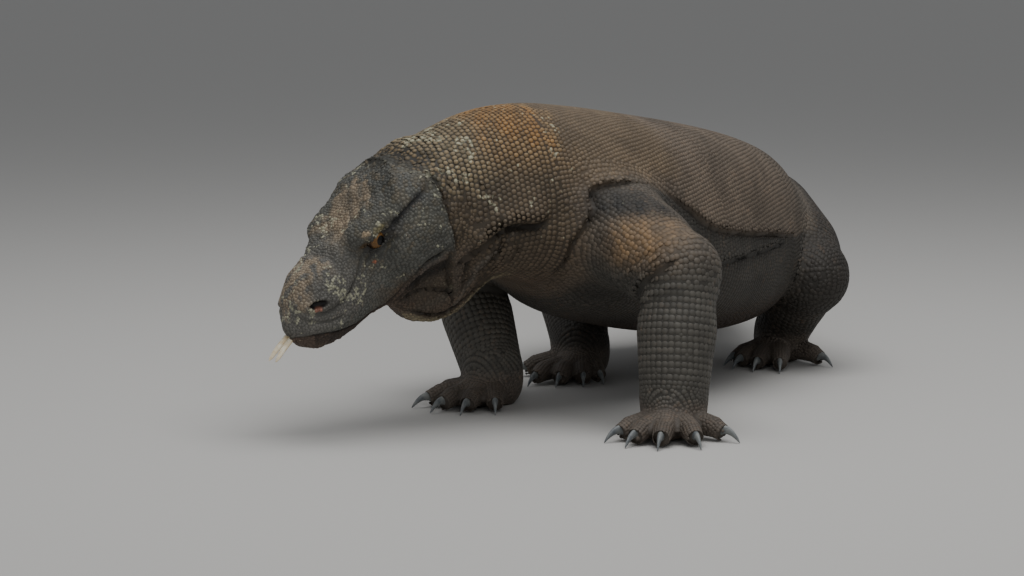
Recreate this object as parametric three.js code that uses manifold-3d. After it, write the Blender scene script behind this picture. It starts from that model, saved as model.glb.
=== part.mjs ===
// A Komodo dragon, life size, standing in mid stride with its head low and its tongue out.
// Millimetres, +Z up. The animal faces -Y, its left side is +X, and its soles are at Z = 0.
// The flesh is one smooth solid, worked out from a bent spine, a head and four jointed
// limbs, and parted into neck, trunk, limbs and tail by thin cuts.

import * as THREE from "three";
import { mergeVertices } from "three/addons/utils/BufferGeometryUtils.js";
import Module from "manifold-3d";

const wasm = await Module();
wasm.setup();

// ---------------------------------------------------------------------------- driving sizes
const GAP = 0.4; // air between parted pieces
const FOLD_GAP = 3; // air between the belly and a lower limb that folds against it
const BODY_CELL = 52; // spacing of the faceted skin on neck and trunk
const HEAD_CELL = 22; // on the head
const LIMB_CELL = 40; // on the limbs
const PALM_CELL = 30; // and on the palms
const BLEND_LIMB = 45; // how softly a limb grows out of the trunk
const BLEND_HEAD = 30; // how softly the head runs into the neck
const BLEND_JOINT = 18; // how softly the lengths of a limb run into each other

const SHOULDERS = { x: 20, y: -335, heading: 12 }; // where the spine's arcs start
const SPINE_ARCS = [
  // length along the spine, and the heading at its far end, in degrees towards the right
  { name: "neck", length: -300, heading: 32 },
  { name: "trunk", length: 672, heading: -21 },
  { name: "tail_root", length: 288, heading: -32 },
  { name: "tail_middle", length: 480, heading: -40 },
  { name: "tail_end", length: 600, heading: -14 },
];
// Stations along the spine: distance behind the shoulders, half width, height of the widest
// level, top, bottom, and squareness of the section (2 is an ellipse).
const SPINE = [
  [-320, 84, 306, 394, 226, 2.1],
  [-260, 94, 308, 419, 214, 2.1],
  [-170, 106, 306, 452, 212, 2.1],
  [-80, 124, 294, 463, 196, 2.2],
  [0, 142, 276, 458, 146, 2.3],
  [120, 160, 250, 443, 114, 2.3],
  [300, 175, 228, 418, 84, 2.4],
  [450, 176, 220, 394, 74, 2.4],
  [580, 156, 224, 370, 86, 2.3],
  [690, 122, 224, 333, 110, 2.2],
  [780, 96, 208, 298, 122, 2.1],
  [900, 84, 180, 268, 100, 2.0],
  [1050, 68, 122, 212, 48, 2.0],
  [1200, 58, 74, 166, 4, 2.0],
  [1330, 51, 56, 140, -3, 2.0],
  [1500, 42, 46, 112, -3, 2.0],
  [1700, 32, 34, 82, -3, 2.0],
  [1900, 20, 22, 50, -3, 2.0],
  [2000, 12, 13, 30, -3, 2.0],
  [2030, 7, 8, 17, -3, 2.0],
];
const CUT_NECK = -72; // the neck ends and the trunk begins
const CUT_TAIL = 800; // the trunk ends and the tail begins
const TAIL_CUTS = [800, 1000, 1210, 1450, 1720, 2036];

// The head has a frame of its own: u forward, v to its left, w up, from the nape's middle.
const HEAD = { x: -86, y: -596, z: 325, heading: 18, pitch: 32 };
// Stations along the head: u, half width, widest level, top, bottom, squareness.
const SKULL = [
  [-60, 84, -8, 62, -70, 2.0],
  [-20, 88, -12, 68, -76, 2.3],
  [30, 88, -14, 69, -80, 2.6],
  [70, 74, -10, 58, -88, 2.6],
  [105, 60, -10, 45, -99, 2.5],
  [140, 49, -16, 32, -96, 2.4],
  [175, 46, -20, 26, -101, 2.5],
  [205, 43, -24, 22, -97, 2.4],
  [230, 36, -30, 8, -91, 2.3],
  [246, 28, -36, -7, -81, 2.2],
  [256, 17, -42, -18, -70, 2.1],
  [261, 8, -44, -28, -58, 2.0],
];
const CUT_HEAD = 0;
const BROW = { u: 96, v: 49, w: 32, radii: [36, 17, 18] };
const JOWL = { u: 22, v: 62, w: -30, radii: [62, 34, 52] };
const POUCH = { u: -4, v: 4, w: -115, radii: [96, 58, 72] };
const MOUTH = [
  // the line of the lips from the corner of the jaw to the chin, as u and w
  [-8, -46],
  [56, -51],
  [72, -60],
  [97, -79],
  [150, -82],
  [208, -70],
  [262, -45],
];
const EYE = { u: 99, v: 55, w: 13.5, radius: 14 };

const LIMBS = [
  {
    name: "arm_left",
    lengths: ["upper", "lower"],
    paw: "hand_left",
    side: 1,
    joints: [[114, -342, 285], [278, -422, 230], [290, -464, 62]],
    radii: [78, 66, 56, 54, 45],
    root: 0.42,
    heading: -14,
    hind: false,
  },
  {
    name: "arm_right",
    lengths: ["upper", "lower"],
    paw: "hand_right",
    side: -1,
    joints: [[-85, -315, 285], [-192, -244, 190], [-84, -332, 62]],
    radii: [78, 64, 54, 51, 43],
    root: 0.5,
    heading: 8,
    hind: false,
  },
  {
    name: "leg_left",
    lengths: ["thigh", "shank"],
    paw: "foot_left",
    side: 1,
    joints: [[60, 340, 226], [186, 232, 156], [92, 318, 60]],
    radii: [78, 76, 60, 50, 41],
    root: 0.42,
    heading: -5,
    hind: true,
  },
  {
    name: "leg_right",
    lengths: ["thigh", "shank"],
    paw: "foot_right",
    side: -1,
    joints: [[-138, 315, 232], [-230, 142, 178], [-114, 2, 60]],
    radii: [80, 76, 60, 52, 44],
    root: 0.45,
    heading: -18,
    hind: true,
  },
];
// Digits from the inner to the outer one: turn outward in degrees, and reach from the ankle.
const DIGITS = {
  hand: { turns: [-40, -17, 4, 30, 68], reaches: [92, 106, 112, 104, 84], palm: 34 },
  foot: { turns: [-27, -12, 4, 20, 66], reaches: [98, 120, 134, 142, 92], palm: 44 },
};
const DIGIT_RADII = [19, 16, 12.5];
const CLAW = { length: 36, radius: 8, drop: 17 };
const SOLE = 0;

// ---------------------------------------------------------------------------- small sums
const rad = THREE.MathUtils.degToRad;
const mix = (a, b, t) => a + (b - a) * t;
const clamp = THREE.MathUtils.clamp;

/** The lesser of two distances, with the corner between them rounded over a width k. */
function softMin(a, b, k) {
  const h = Math.max(k - Math.abs(a - b), 0) / k;
  return Math.min(a, b) - (h * h * k) / 4;
}

/** A smooth table: each column as a cubic through the stations, read at any position. */
function table(rows) {
  const at = rows.map((r) => r[0]);
  const slope = (i, c) => {
    const lo = Math.max(i - 1, 0);
    const hi = Math.min(i + 1, rows.length - 1);
    return (rows[hi][c] - rows[lo][c]) / (at[hi] - at[lo]);
  };
  return (x) => {
    const p = clamp(x, at[0], at.at(-1));
    let i = 0;
    while (i < at.length - 2 && p > at[i + 1]) i += 1;
    const h = at[i + 1] - at[i];
    const t = (p - at[i]) / h;
    const [t2, t3] = [t * t, t * t * t];
    return rows[i].slice(1).map((_, j) => {
      const c = j + 1;
      const start = (2 * t3 - 3 * t2 + 1) * rows[i][c] + (t3 - 2 * t2 + t) * h * slope(i, c);
      const end = (3 * t2 - 2 * t3) * rows[i + 1][c] + (t3 - t2) * h * slope(i + 1, c);
      return start + end;
    });
  };
}

/** About how far a point of a section lies outside it, by the section's own curve. */
function sectionDistance(across, up, [wide, level, top, bottom, square]) {
  const rise = up - level;
  const tall = rise > 0 ? top - level : level - bottom;
  const reach = Math.hypot(across, rise);
  if (reach < 1e-6) return -Math.min(wide, tall);
  const q = ((Math.abs(across) / wide) ** square + (Math.abs(rise) / tall) ** square) ** (1 / square);
  return reach * (1 - 1 / q);
}

/** Distance to an ellipsoid, close to the true one near its surface. */
function ellipsoid(x, y, z, [a, b, c]) {
  const near = Math.hypot(x / a, y / b, z / c);
  const steep = Math.hypot(x / (a * a), y / (b * b), z / (c * c));
  return steep < 1e-9 ? -Math.min(a, b, c) : (near * (near - 1)) / steep;
}

/** Distance to a straight round length that tapers from one radius to another. */
function bone(p, a, b, ra, rb) {
  const [dx, dy, dz] = [b[0] - a[0], b[1] - a[1], b[2] - a[2]];
  const along = (p[0] - a[0]) * dx + (p[1] - a[1]) * dy + (p[2] - a[2]) * dz;
  const t = clamp(along / (dx * dx + dy * dy + dz * dz), 0, 1);
  const [x, y, z] = [p[0] - a[0] - t * dx, p[1] - a[1] - t * dy, p[2] - a[2] - t * dz];
  return Math.hypot(x, y, z) - mix(ra, rb, t);
}

// ---------------------------------------------------------------------------- the spine
/** The spine's arcs in plan, each with its start, end, headings and distance behind the shoulders. */
function spineArcs() {
  const arcs = [];
  const walk = (from, spec) => {
    const turn = rad(spec.heading) - from.heading;
    const radius = spec.length / turn;
    const to = { heading: from.heading + turn, s: from.s + spec.length };
    // Backward along the spine is (sin heading, cos heading).
    to.x = from.x + radius * (Math.cos(from.heading) - Math.cos(to.heading));
    to.y = from.y + radius * (Math.sin(to.heading) - Math.sin(from.heading));
    const centre = [from.x + radius * Math.cos(from.heading), from.y - radius * Math.sin(from.heading)];
    const [front, back] = spec.length < 0 ? [to, from] : [from, to];
    return { arc: { front, back, radius, centre }, to };
  };
  const start = { x: SHOULDERS.x, y: SHOULDERS.y, heading: rad(SHOULDERS.heading), s: 0 };
  arcs.push(walk(start, SPINE_ARCS[0]).arc);
  let from = start;
  for (const spec of SPINE_ARCS.slice(1)) {
    const step = walk(from, spec);
    arcs.push(step.arc);
    from = step.to;
  }
  return arcs;
}

const ARCS = spineArcs();

/** Distance behind the shoulders, and distance to the left of the spine, of a place in plan. */
function alongSpine(x, y) {
  let arc = ARCS[0];
  for (const next of ARCS.slice(1)) {
    const past = (x - next.front.x) * Math.sin(next.front.heading)
      + (y - next.front.y) * Math.cos(next.front.heading);
    if (past > 0) arc = next;
  }
  const [cx, cy] = [x - arc.centre[0], y - arc.centre[1]];
  const sign = Math.sign(arc.radius);
  const heading = Math.atan2(cy * sign, -cx * sign);
  return [arc.front.s + arc.radius * (heading - arc.front.heading), arc.radius - sign * Math.hypot(cx, cy)];
}

/** The place in plan at a distance behind the shoulders and to the left of the spine. */
function spinePlace(s, left) {
  const arc = ARCS.find((a) => s <= a.back.s) ?? ARCS.at(-1);
  const heading = arc.front.heading + (s - arc.front.s) / arc.radius;
  const reach = arc.radius - left;
  return [arc.centre[0] - reach * Math.cos(heading), arc.centre[1] + reach * Math.sin(heading), heading];
}

const spineAt = table(SPINE);

function spineField(p) {
  const [s, left] = alongSpine(p[0], p[1]);
  const inside = sectionDistance(left, p[2], spineAt(s));
  const beyond = Math.max(SPINE[0][0] - s, s - SPINE.at(-1)[0], 0);
  return beyond > 0 ? Math.hypot(Math.max(inside, 0), beyond) : inside;
}

// ---------------------------------------------------------------------------- the head
const headTurn = new THREE.Matrix4();
{
  const [turn, dip] = [rad(HEAD.heading), rad(HEAD.pitch)];
  const forward = new THREE.Vector3(
    -Math.sin(turn) * Math.cos(dip),
    -Math.cos(turn) * Math.cos(dip),
    -Math.sin(dip),
  );
  const left = new THREE.Vector3(Math.cos(turn), -Math.sin(turn), 0);
  const up = new THREE.Vector3().crossVectors(left, forward).negate();
  headTurn.makeBasis(forward, left, up).setPosition(HEAD.x, HEAD.y, HEAD.z);
}
const headBack = headTurn.clone().invert();
const skullAt = table(SKULL);

/** A point in the head's own frame. */
function inHead(p) {
  const v = new THREE.Vector3(...p).applyMatrix4(headBack);
  return [v.x, v.y, v.z];
}

function headField(p) {
  const [u, v, w] = inHead(p);
  const inside = sectionDistance(v, w, skullAt(u));
  const beyond = Math.max(SKULL[0][0] - u, u - SKULL.at(-1)[0], 0);
  let d = beyond > 0 ? Math.hypot(Math.max(inside, 0), beyond) : inside;
  for (const side of [1, -1]) {
    d = softMin(d, ellipsoid(u - BROW.u, v - side * BROW.v, w - BROW.w, BROW.radii), 14);
    d = softMin(d, ellipsoid(u - JOWL.u, v - side * JOWL.v, w - JOWL.w, JOWL.radii), 26);
  }
  return softMin(d, ellipsoid(u - POUCH.u, v - POUCH.v, w - POUCH.w, POUCH.radii), 30);
}

// ---------------------------------------------------------------------------- the limbs
function limbField(limb, p) {
  const [root, knee, ankle] = limb.joints;
  const [r0, r1, r2, r3, r4] = limb.radii;
  const half = (a, b) => a.map((v, i) => (v + b[i]) / 2);
  const [thigh, shin] = [half(root, knee), half(knee, ankle)];
  const upper = Math.min(bone(p, root, thigh, r0, r1), bone(p, thigh, knee, r1, r2));
  const lower = Math.min(bone(p, knee, shin, r2, r3), bone(p, shin, ankle, r3, r4));
  return softMin(upper, lower, BLEND_JOINT);
}

/** Neck and trunk, with the head and the roots of the limbs growing out of them. */
function bodyField(p) {
  let d = softMin(spineField(p), headField(p), BLEND_HEAD);
  for (const limb of LIMBS) {
    const [root, knee] = limb.joints;
    const [r0, r1] = limb.radii;
    const end = root.map((v, i) => mix(v, knee[i], limb.root + 0.15));
    d = softMin(d, bone(p, root, end, r0, mix(r0, r1, limb.root * 2)), BLEND_LIMB);
  }
  return d;
}

// ---------------------------------------------------------------------------- faceting
function meshGeometry(points, faces) {
  const geometry = new THREE.BufferGeometry();
  geometry.setAttribute("position", new THREE.Float32BufferAttribute(points, 3));
  geometry.setIndex(faces);
  return geometry;
}

/** Draws a point onto the field's surface, in a few steps along the steepest way. */
function ontoSurface(field, start, reach) {
  let p = start;
  const e = 0.5;
  for (let step = 0; step < 5; step += 1) {
    const d = field(p);
    const slope = [0, 1, 2].map((i) => {
      const q = [...p];
      q[i] += e;
      return (field(q) - d) / e;
    });
    const steep = slope[0] ** 2 + slope[1] ** 2 + slope[2] ** 2;
    if (steep < 1e-9) break;
    p = p.map((v, i) => {
      const moved = v - (clamp(d, -8, 8) * slope[i]) / Math.max(steep, 0.3);
      return clamp(moved, start[i] - reach, start[i] + reach);
    });
  }
  return p;
}

const CORNERS = [0, 1, 2, 3, 4, 5, 6, 7].map((c) => [c & 1, (c >> 1) & 1, (c >> 2) & 1]);

/** Whether the corners of a cell that share a side of the surface all hang together. */
function hangsTogether(inside) {
  return [true, false].every((side) => {
    const same = [0, 1, 2, 3, 4, 5, 6, 7].filter((c) => inside[c] === side);
    const met = new Set(same.slice(0, 1));
    for (const c of met) {
      for (const axis of [1, 2, 4]) if (inside[c ^ axis] === side) met.add(c ^ axis);
    }
    return met.size === same.length;
  });
}

/** Fills the corners where two sheets of the surface would touch in one cell. */
function fillPinches(value, counts, index) {
  const [nx, ny, nz] = counts;
  let changed = true;
  while (changed) {
    changed = false;
    for (let i = 1; i < nx - 2; i += 1) {
      for (let j = 1; j < ny - 2; j += 1) {
        for (let k = 1; k < nz - 2; k += 1) {
          const at = CORNERS.map(([a, b, c]) => index(i + a, j + b, k + c));
          if (hangsTogether(at.map((n) => value[n] < 0))) continue;
          const nearest = at.filter((n) => value[n] >= 0).sort((m, n) => value[m] - value[n])[0];
          value[nearest] = -0.5;
          changed = true;
        }
      }
    }
  }
}

/** A faceted skin of a field's inside: one point in each cell that the surface crosses. */
function facetedSkin(field, low, high, cell) {
  const counts = low.map((v, i) => Math.ceil((high[i] - v) / cell) + 2);
  const [nx, ny, nz] = counts;
  const place = (i, j, k) => [low[0] + i * cell, low[1] + j * cell, low[2] + k * cell];
  const index = (i, j, k) => (i * ny + j) * nz + k;
  const value = new Float64Array(nx * ny * nz);
  const wall = (i, n) => i === 0 || i === n - 1; // the skin closes where the box ends
  for (let i = 0; i < nx; i += 1) {
    for (let j = 0; j < ny; j += 1) {
      for (let k = 0; k < nz; k += 1) {
        const outer = wall(i, nx) || wall(j, ny) || wall(k, nz);
        value[index(i, j, k)] = outer ? cell : field(place(i, j, k));
      }
    }
  }
  fillPinches(value, counts, index);
  const points = [];
  const pointOf = new Map();
  for (let i = 0; i < nx - 1; i += 1) {
    for (let j = 0; j < ny - 1; j += 1) {
      for (let k = 0; k < nz - 1; k += 1) {
        const d = CORNERS.map(([a, b, c]) => value[index(i + a, j + b, k + c)]);
        const inside = d.filter((v) => v < 0).length;
        if (inside === 0 || inside === 8) continue;
        const sum = [0, 0, 0];
        let crossings = 0;
        for (let a = 0; a < 8; a += 1) {
          for (let axis = 0; axis < 3; axis += 1) {
            const b = a | (1 << axis);
            if (b === a || d[a] < 0 === d[b] < 0) continue;
            const t = d[a] / (d[a] - d[b]);
            const start = place(i + CORNERS[a][0], j + CORNERS[a][1], k + CORNERS[a][2]);
            start[axis] += t * cell;
            start.forEach((v, n) => (sum[n] += v));
            crossings += 1;
          }
        }
        pointOf.set(index(i, j, k), points.length / 3);
        points.push(...ontoSurface(field, sum.map((v) => v / crossings), cell * 0.45));
      }
    }
  }
  const faces = [];
  const step = [[1, 0, 0], [0, 1, 0], [0, 0, 1]];
  for (let i = 0; i < nx - 1; i += 1) {
    for (let j = 0; j < ny - 1; j += 1) {
      for (let k = 0; k < nz - 1; k += 1) {
        const here = value[index(i, j, k)] < 0;
        for (let axis = 0; axis < 3; axis += 1) {
          const [a, b, c] = step[axis];
          if ([i, j, k].some((n, other) => other !== axis && n === 0)) continue;
          if (value[index(i + a, j + b, k + c)] < 0 === here) continue;
          const u = step[(axis + 1) % 3];
          const v = step[(axis + 2) % 3];
          const cells = [[0, 0], [1, 0], [1, 1], [0, 1]].map(([m, n]) =>
            pointOf.get(index(i - m * u[0] - n * v[0], j - m * u[1] - n * v[1], k - m * u[2] - n * v[2])));
          const [p, q, r, s] = here ? cells : [cells[0], cells[3], cells[2], cells[1]];
          faces.push(p, q, r, p, r, s);
        }
      }
    }
  }
  return meshGeometry(points, faces);
}

/** A closed skin over rings of equal count, with flat ends. */
function loft(rings) {
  const count = rings[0].length;
  const points = rings.flat(2);
  const faces = [];
  for (let r = 0; r < rings.length - 1; r += 1) {
    for (let i = 0; i < count; i += 1) {
      const j = (i + 1) % count;
      const [a, b, c, d] = [r * count + i, r * count + j, (r + 1) * count + i, (r + 1) * count + j];
      faces.push(a, c, b, b, c, d);
    }
  }
  const last = (rings.length - 1) * count;
  for (let i = 1; i < count - 1; i += 1) {
    faces.push(0, i, i + 1);
    faces.push(last, last + i + 1, last + i);
  }
  return meshGeometry(points, faces);
}

/** A round tube along a path of points, one radius to each, with flat ends. */
function tube(path, radii, sides) {
  const at = path.map((p) => new THREE.Vector3(...p));
  const rings = at.map((p, i) => {
    const before = at[Math.max(i - 1, 0)];
    const after = at[Math.min(i + 1, at.length - 1)];
    const along = after.clone().sub(before).normalize();
    const level = Math.abs(along.z) > 0.9 ? new THREE.Vector3(0, 1, 0) : new THREE.Vector3(0, 0, 1);
    const across = new THREE.Vector3().crossVectors(along, level).normalize();
    const up = new THREE.Vector3().crossVectors(across, along);
    return Array.from({ length: sides }, (_, n) => {
      const turn = (2 * Math.PI * n) / sides;
      return p.clone()
        .addScaledVector(across, radii[i] * Math.cos(turn))
        .addScaledVector(up, radii[i] * Math.sin(turn))
        .toArray();
    });
  });
  return loft(rings);
}

// ---------------------------------------------------------------------------- solids
function solid(geometry) {
  let welded = geometry;
  if (geometry.hasAttribute("uv")) {
    const bare = geometry.clone();
    bare.deleteAttribute("normal");
    bare.deleteAttribute("uv");
    welded = mergeVertices(bare, 1e-4);
  }
  const made = new wasm.Manifold(new wasm.Mesh({
    numProp: 3,
    vertProperties: new Float32Array(welded.attributes.position.array),
    triVerts: new Uint32Array(welded.index.array),
  }));
  if (made.volume() > 0) return made;
  const turned = Array.from(welded.index.array);
  for (let i = 0; i < turned.length; i += 3) {
    [turned[i], turned[i + 1]] = [turned[i + 1], turned[i]];
  }
  return solid(meshGeometry(Array.from(welded.attributes.position.array), turned));
}

function boxSolid(size, place) {
  return solid(new THREE.BoxGeometry(...size).applyMatrix4(place));
}

const joined = (solids) => solids.reduce((a, b) => a.add(b));
const FLOOR = boxSolid([4000, 6000, 1000], new THREE.Matrix4().makeTranslation(0, 0, SOLE - 500));

/** A block that holds all of the spine behind a station. */
function behindStation(s) {
  const [x, y, heading] = spinePlace(s, 0);
  const place = new THREE.Matrix4().makeRotationZ(-heading).setPosition(x, y, 0);
  return boxSolid([1400, 1600, 2000], place.multiply(new THREE.Matrix4().makeTranslation(0, 800, 0)));
}

/** A block in the head's frame that holds all in front of a station. */
function aheadInHead(u) {
  const place = headTurn.clone().multiply(new THREE.Matrix4().makeTranslation(u + 200, 0, 0));
  return boxSolid([400, 500, 500], place);
}

/** The straight tube that parts one length of a limb from the rest. */
function partingTube(from, to, radius) {
  return solid(tube([from, to], [radius, radius], 14));
}

const pieces = new Map();

// The body without paws, tail and head, and the head.
const [BODY_LOW, BODY_HIGH] = [[-420, -720, -60], [440, 640, 520]];
const bodySkin = solid(facetedSkin(
  (p) => Math.max(bodyField(p), inHead(p)[0] - 45, alongSpine(p[0], p[1])[0] - (CUT_TAIL + 60)),
  BODY_LOW, BODY_HIGH, BODY_CELL,
));
const [HEAD_LOW, HEAD_HIGH] = [[-300, -870, 90], [110, -440, 480]];
const headSkin = solid(facetedSkin(
  (p) => Math.max(softMin(spineField(p), headField(p), BLEND_HEAD), -40 - inHead(p)[0]),
  HEAD_LOW, HEAD_HIGH, HEAD_CELL,
));

// Eyes: balls that sit in sockets under the brows.
const eyeBall = (side, extra) => solid(new THREE.SphereGeometry(EYE.radius + extra, 10, 7)
  .applyMatrix4(headTurn.clone().multiply(new THREE.Matrix4().makeTranslation(EYE.u, side * EYE.v, EYE.w))));

// Tongue: a flat stem between the lips that forks into two tips.
const TONGUE_ROOT = 190;
const TONGUE_PATHS = [1, -1].map((side) => [
  [TONGUE_ROOT, -5 + side * 3, -62],
  [222, -7 + side * 4.5, -54],
  [246, -9 + side * 5.5, -48.5],
  [272, -12.5 + side * 6.5, -54],
  [296, -16 + side * 8, -63],
]);
const inRoom = ([u, v, w]) => new THREE.Vector3(u, v, w).applyMatrix4(headTurn).toArray();
const tongue = (extra) => joined(TONGUE_PATHS.map((path) =>
  solid(tube(path.map(inRoom), [5, 4.4, 3.7, 3.3, 1.5].map((r) => r + extra), 6))));

// Lower jaw: what lies under the line of the lips.
function jawBlock(extra) {
  const outline = new THREE.Shape();
  const line = MOUTH.map(([u, w]) => [u, w + extra]);
  outline.moveTo(line[0][0], -220);
  for (const [u, w] of line) outline.lineTo(u, w);
  outline.lineTo(line.at(-1)[0], -220);
  const block = new THREE.ExtrudeGeometry(outline, { depth: 400, bevelEnabled: false });
  block.translate(0, 0, -200).rotateX(Math.PI / 2);
  return solid(block.applyMatrix4(headTurn));
}

const headWhole = headSkin.intersect(aheadInHead(CUT_HEAD));
const upperHead = headWhole.subtract(jawBlock(GAP));
pieces.set("head", upperHead.subtract(eyeBall(1, GAP)).subtract(eyeBall(-1, GAP)).subtract(tongue(GAP)));
pieces.set("lower_jaw", headWhole.intersect(jawBlock(0)).subtract(tongue(GAP)));
pieces.set("eye_left", eyeBall(1, 0));
pieces.set("eye_right", eyeBall(-1, 0));
pieces.set("tongue", tongue(0));

// Limbs: each is parted from the trunk at its root, at the elbow or knee, and at the ankle.
let trunk = bodySkin.subtract(FLOOR).subtract(behindStation(CUT_TAIL - GAP));
trunk = trunk.subtract(aheadInHead(CUT_HEAD - GAP));
for (const limb of LIMBS) {
  const [root, knee, ankle] = limb.joints;
  const reach = (a, b, t) => a.map((v, i) => mix(v, b[i], t));
  const thick = Math.max(limb.radii[0], limb.radii[1] + 10) + 16;
  const thin = limb.radii[2] + 12;
  const past = (a, b, from, to, radius) => partingTube(reach(a, b, from), reach(a, b, to), radius);
  const extent = [0, 1, 2].map((i) => limb.joints.map((joint) => joint[i]));
  const limbSkin = (extra) => solid(facetedSkin(
    (p) => limbField(limb, p) - extra,
    extent.map((v) => Math.min(...v) - thick - LIMB_CELL),
    extent.map((v) => Math.max(...v) + thick + LIMB_CELL),
    LIMB_CELL,
  ));
  const skin = limbSkin(0).subtract(FLOOR);
  const step = GAP / 180;
  const outer = (gap) => past(root, knee, limb.root - gap * step, 1.6, thick + gap);
  limb.shin = (gap) => past(knee, ankle, 0.16 - gap * step, 0.97 + gap * step, thin + gap);
  const shinOn = past(knee, ankle, 0.16 - step, 1.5, thin + GAP);
  pieces.set(`${limb.name}_${limb.lengths[0]}`, skin.intersect(outer(0)).subtract(shinOn));
  pieces.set(`${limb.name}_${limb.lengths[1]}`, skin.intersect(limb.shin(0)));
  trunk = trunk.subtract(outer(GAP)).subtract(limbSkin(FOLD_GAP).intersect(limb.shin(GAP)));
}
pieces.set("neck", trunk.subtract(behindStation(CUT_NECK - GAP)));
pieces.set("trunk", trunk.intersect(behindStation(CUT_NECK)));

// Paws: a low palm with five digits, each with a claw.
function pawParts(limb, extra) {
  const kind = limb.hind ? DIGITS.foot : DIGITS.hand;
  const ankle = limb.joints[2];
  const r = limb.radii[4];
  const ahead = (turn, reach, z) => {
    const way = rad(limb.heading - limb.side * turn);
    return [ankle[0] - reach * Math.sin(way), ankle[1] - reach * Math.cos(way), z];
  };
  const heel = [ankle[0], ankle[1], 34];
  const knuckles = ahead(0, kind.palm + 12, 22);
  const palmField = (p) => {
    const shin = bone(p, limb.joints[1], heel, limb.radii[2], r + extra);
    return softMin(shin, bone(p, heel, knuckles, r * 0.95 + extra, 25 + extra), BLEND_JOINT);
  };
  const wide = r + PALM_CELL;
  const palm = solid(facetedSkin(
    (p) => Math.max(palmField(p), p[2] - ankle[2] - 20),
    [ankle[0] - wide - 40, ankle[1] - wide - 90, -50],
    [ankle[0] + wide + 40, ankle[1] + wide + 40, 120],
    PALM_CELL,
  ));
  const digits = kind.turns.map((turn, n) => {
    const reach = kind.reaches[n];
    const path = [
      ahead(turn, 14, 24),
      ahead(turn, reach * 0.55, 23),
      ahead(turn, reach * 0.82, 21),
      ahead(turn, reach * 0.98, 13.5),
    ];
    const radii = [DIGIT_RADII[0], DIGIT_RADII[0], DIGIT_RADII[1], DIGIT_RADII[2]].map((v) => v + extra);
    return solid(tube(path, radii, 5));
  });
  const claws = kind.turns.map((turn, n) => {
    const reach = kind.reaches[n];
    const path = [0, 0.55, 1].map((t) =>
      ahead(turn, reach * 0.9 + t * CLAW.length, 15 + 6 * Math.sin(Math.PI * t * 0.8) - CLAW.drop * t * t));
    return solid(tube(path, [CLAW.radius, CLAW.radius * 0.7, 1.2], 5));
  });
  return { flesh: joined([palm, ...digits]), claws };
}

for (const limb of LIMBS) {
  const { flesh, claws } = pawParts(limb, 0);
  const cover = pawParts(limb, GAP).flesh;
  pieces.set(limb.paw, flesh.subtract(limb.shin(GAP)).subtract(FLOOR));
  claws.forEach((claw, n) =>
    pieces.set(`claw_${limb.paw}_${n + 1}`, claw.subtract(cover).subtract(FLOOR)));
}

// Tail: lengths of the spine's own sections, from the trunk to the tip.
const TAIL_SIDES = 12;
function tailRing(s) {
  const [wide, level, top, bottom, square] = spineAt(s);
  return Array.from({ length: TAIL_SIDES }, (_, n) => {
    const turn = (2 * Math.PI * n) / TAIL_SIDES;
    const [c, d] = [Math.cos(turn), Math.sin(turn)];
    const across = wide * Math.sign(c) * Math.abs(c) ** (2 / square);
    const tall = d > 0 ? top - level : level - bottom;
    const up = level + tall * Math.sign(d) * Math.abs(d) ** (2 / square);
    const [x, y] = spinePlace(s, across);
    return [x, y, up];
  });
}
for (let n = 0; n < TAIL_CUTS.length - 1; n += 1) {
  const [from, to] = [TAIL_CUTS[n], TAIL_CUTS[n + 1] - GAP];
  const steps = Math.round((to - from) / 62);
  const rings = Array.from({ length: steps + 1 }, (_, i) => tailRing(mix(from, to, i / steps)));
  pieces.set(`tail_${n + 1}`, solid(loft(rings)).subtract(FLOOR));
}

// ---------------------------------------------------------------------------- the group
const HIDE = { colour: 0x56514a, roughness: 0.75 };
const FINISHES = [
  [/^(head|lower_jaw)/, { colour: 0x42474a, roughness: 0.7 }],
  [/^(eye)/, { colour: 0x2a1c10, roughness: 0.1 }],
  [/^(tongue)/, { colour: 0xd8b98a, roughness: 0.5 }],
  [/^(claw)/, { colour: 0x5a6068, roughness: 0.4 }],
  [/^(neck)/, { colour: 0x7a6a4a, roughness: 0.75 }],
  [/^(hand|foot|arm|leg)/, { colour: 0x4c4d4a, roughness: 0.75 }],
];
const dragon = new THREE.Group();
let low = new THREE.Vector3(Infinity, Infinity, Infinity);
let high = new THREE.Vector3(-Infinity, -Infinity, -Infinity);
for (const [name, piece] of pieces) {
  const made = piece.getMesh();
  const points = [];
  for (let i = 0; i < made.numVert; i += 1) {
    points.push(...made.vertProperties.slice(i * made.numProp, i * made.numProp + 3));
  }
  const geometry = meshGeometry(points, Array.from(made.triVerts));
  geometry.computeBoundingBox();
  low.min(geometry.boundingBox.min);
  high.max(geometry.boundingBox.max);
  const finish = FINISHES.find(([names]) => names.test(name))?.[1] ?? HIDE;
  const material = new THREE.MeshStandardMaterial({
    color: finish.colour,
    roughness: finish.roughness,
    metalness: 0,
  });
  const mesh = new THREE.Mesh(geometry, material);
  mesh.name = name;
  dragon.add(mesh);
}
// The origin is under the middle of the animal's box, on the ground.
dragon.position.set(-(low.x + high.x) / 2, -(low.y + high.y) / 2, -low.z);

export default dragon;
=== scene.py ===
"""A Komodo dragon, life size: one hide with its scales over it, eyes, tongue and claws."""

import bmesh
import bpy
import numpy as np
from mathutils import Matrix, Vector
from mathutils.kdtree import KDTree


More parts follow.
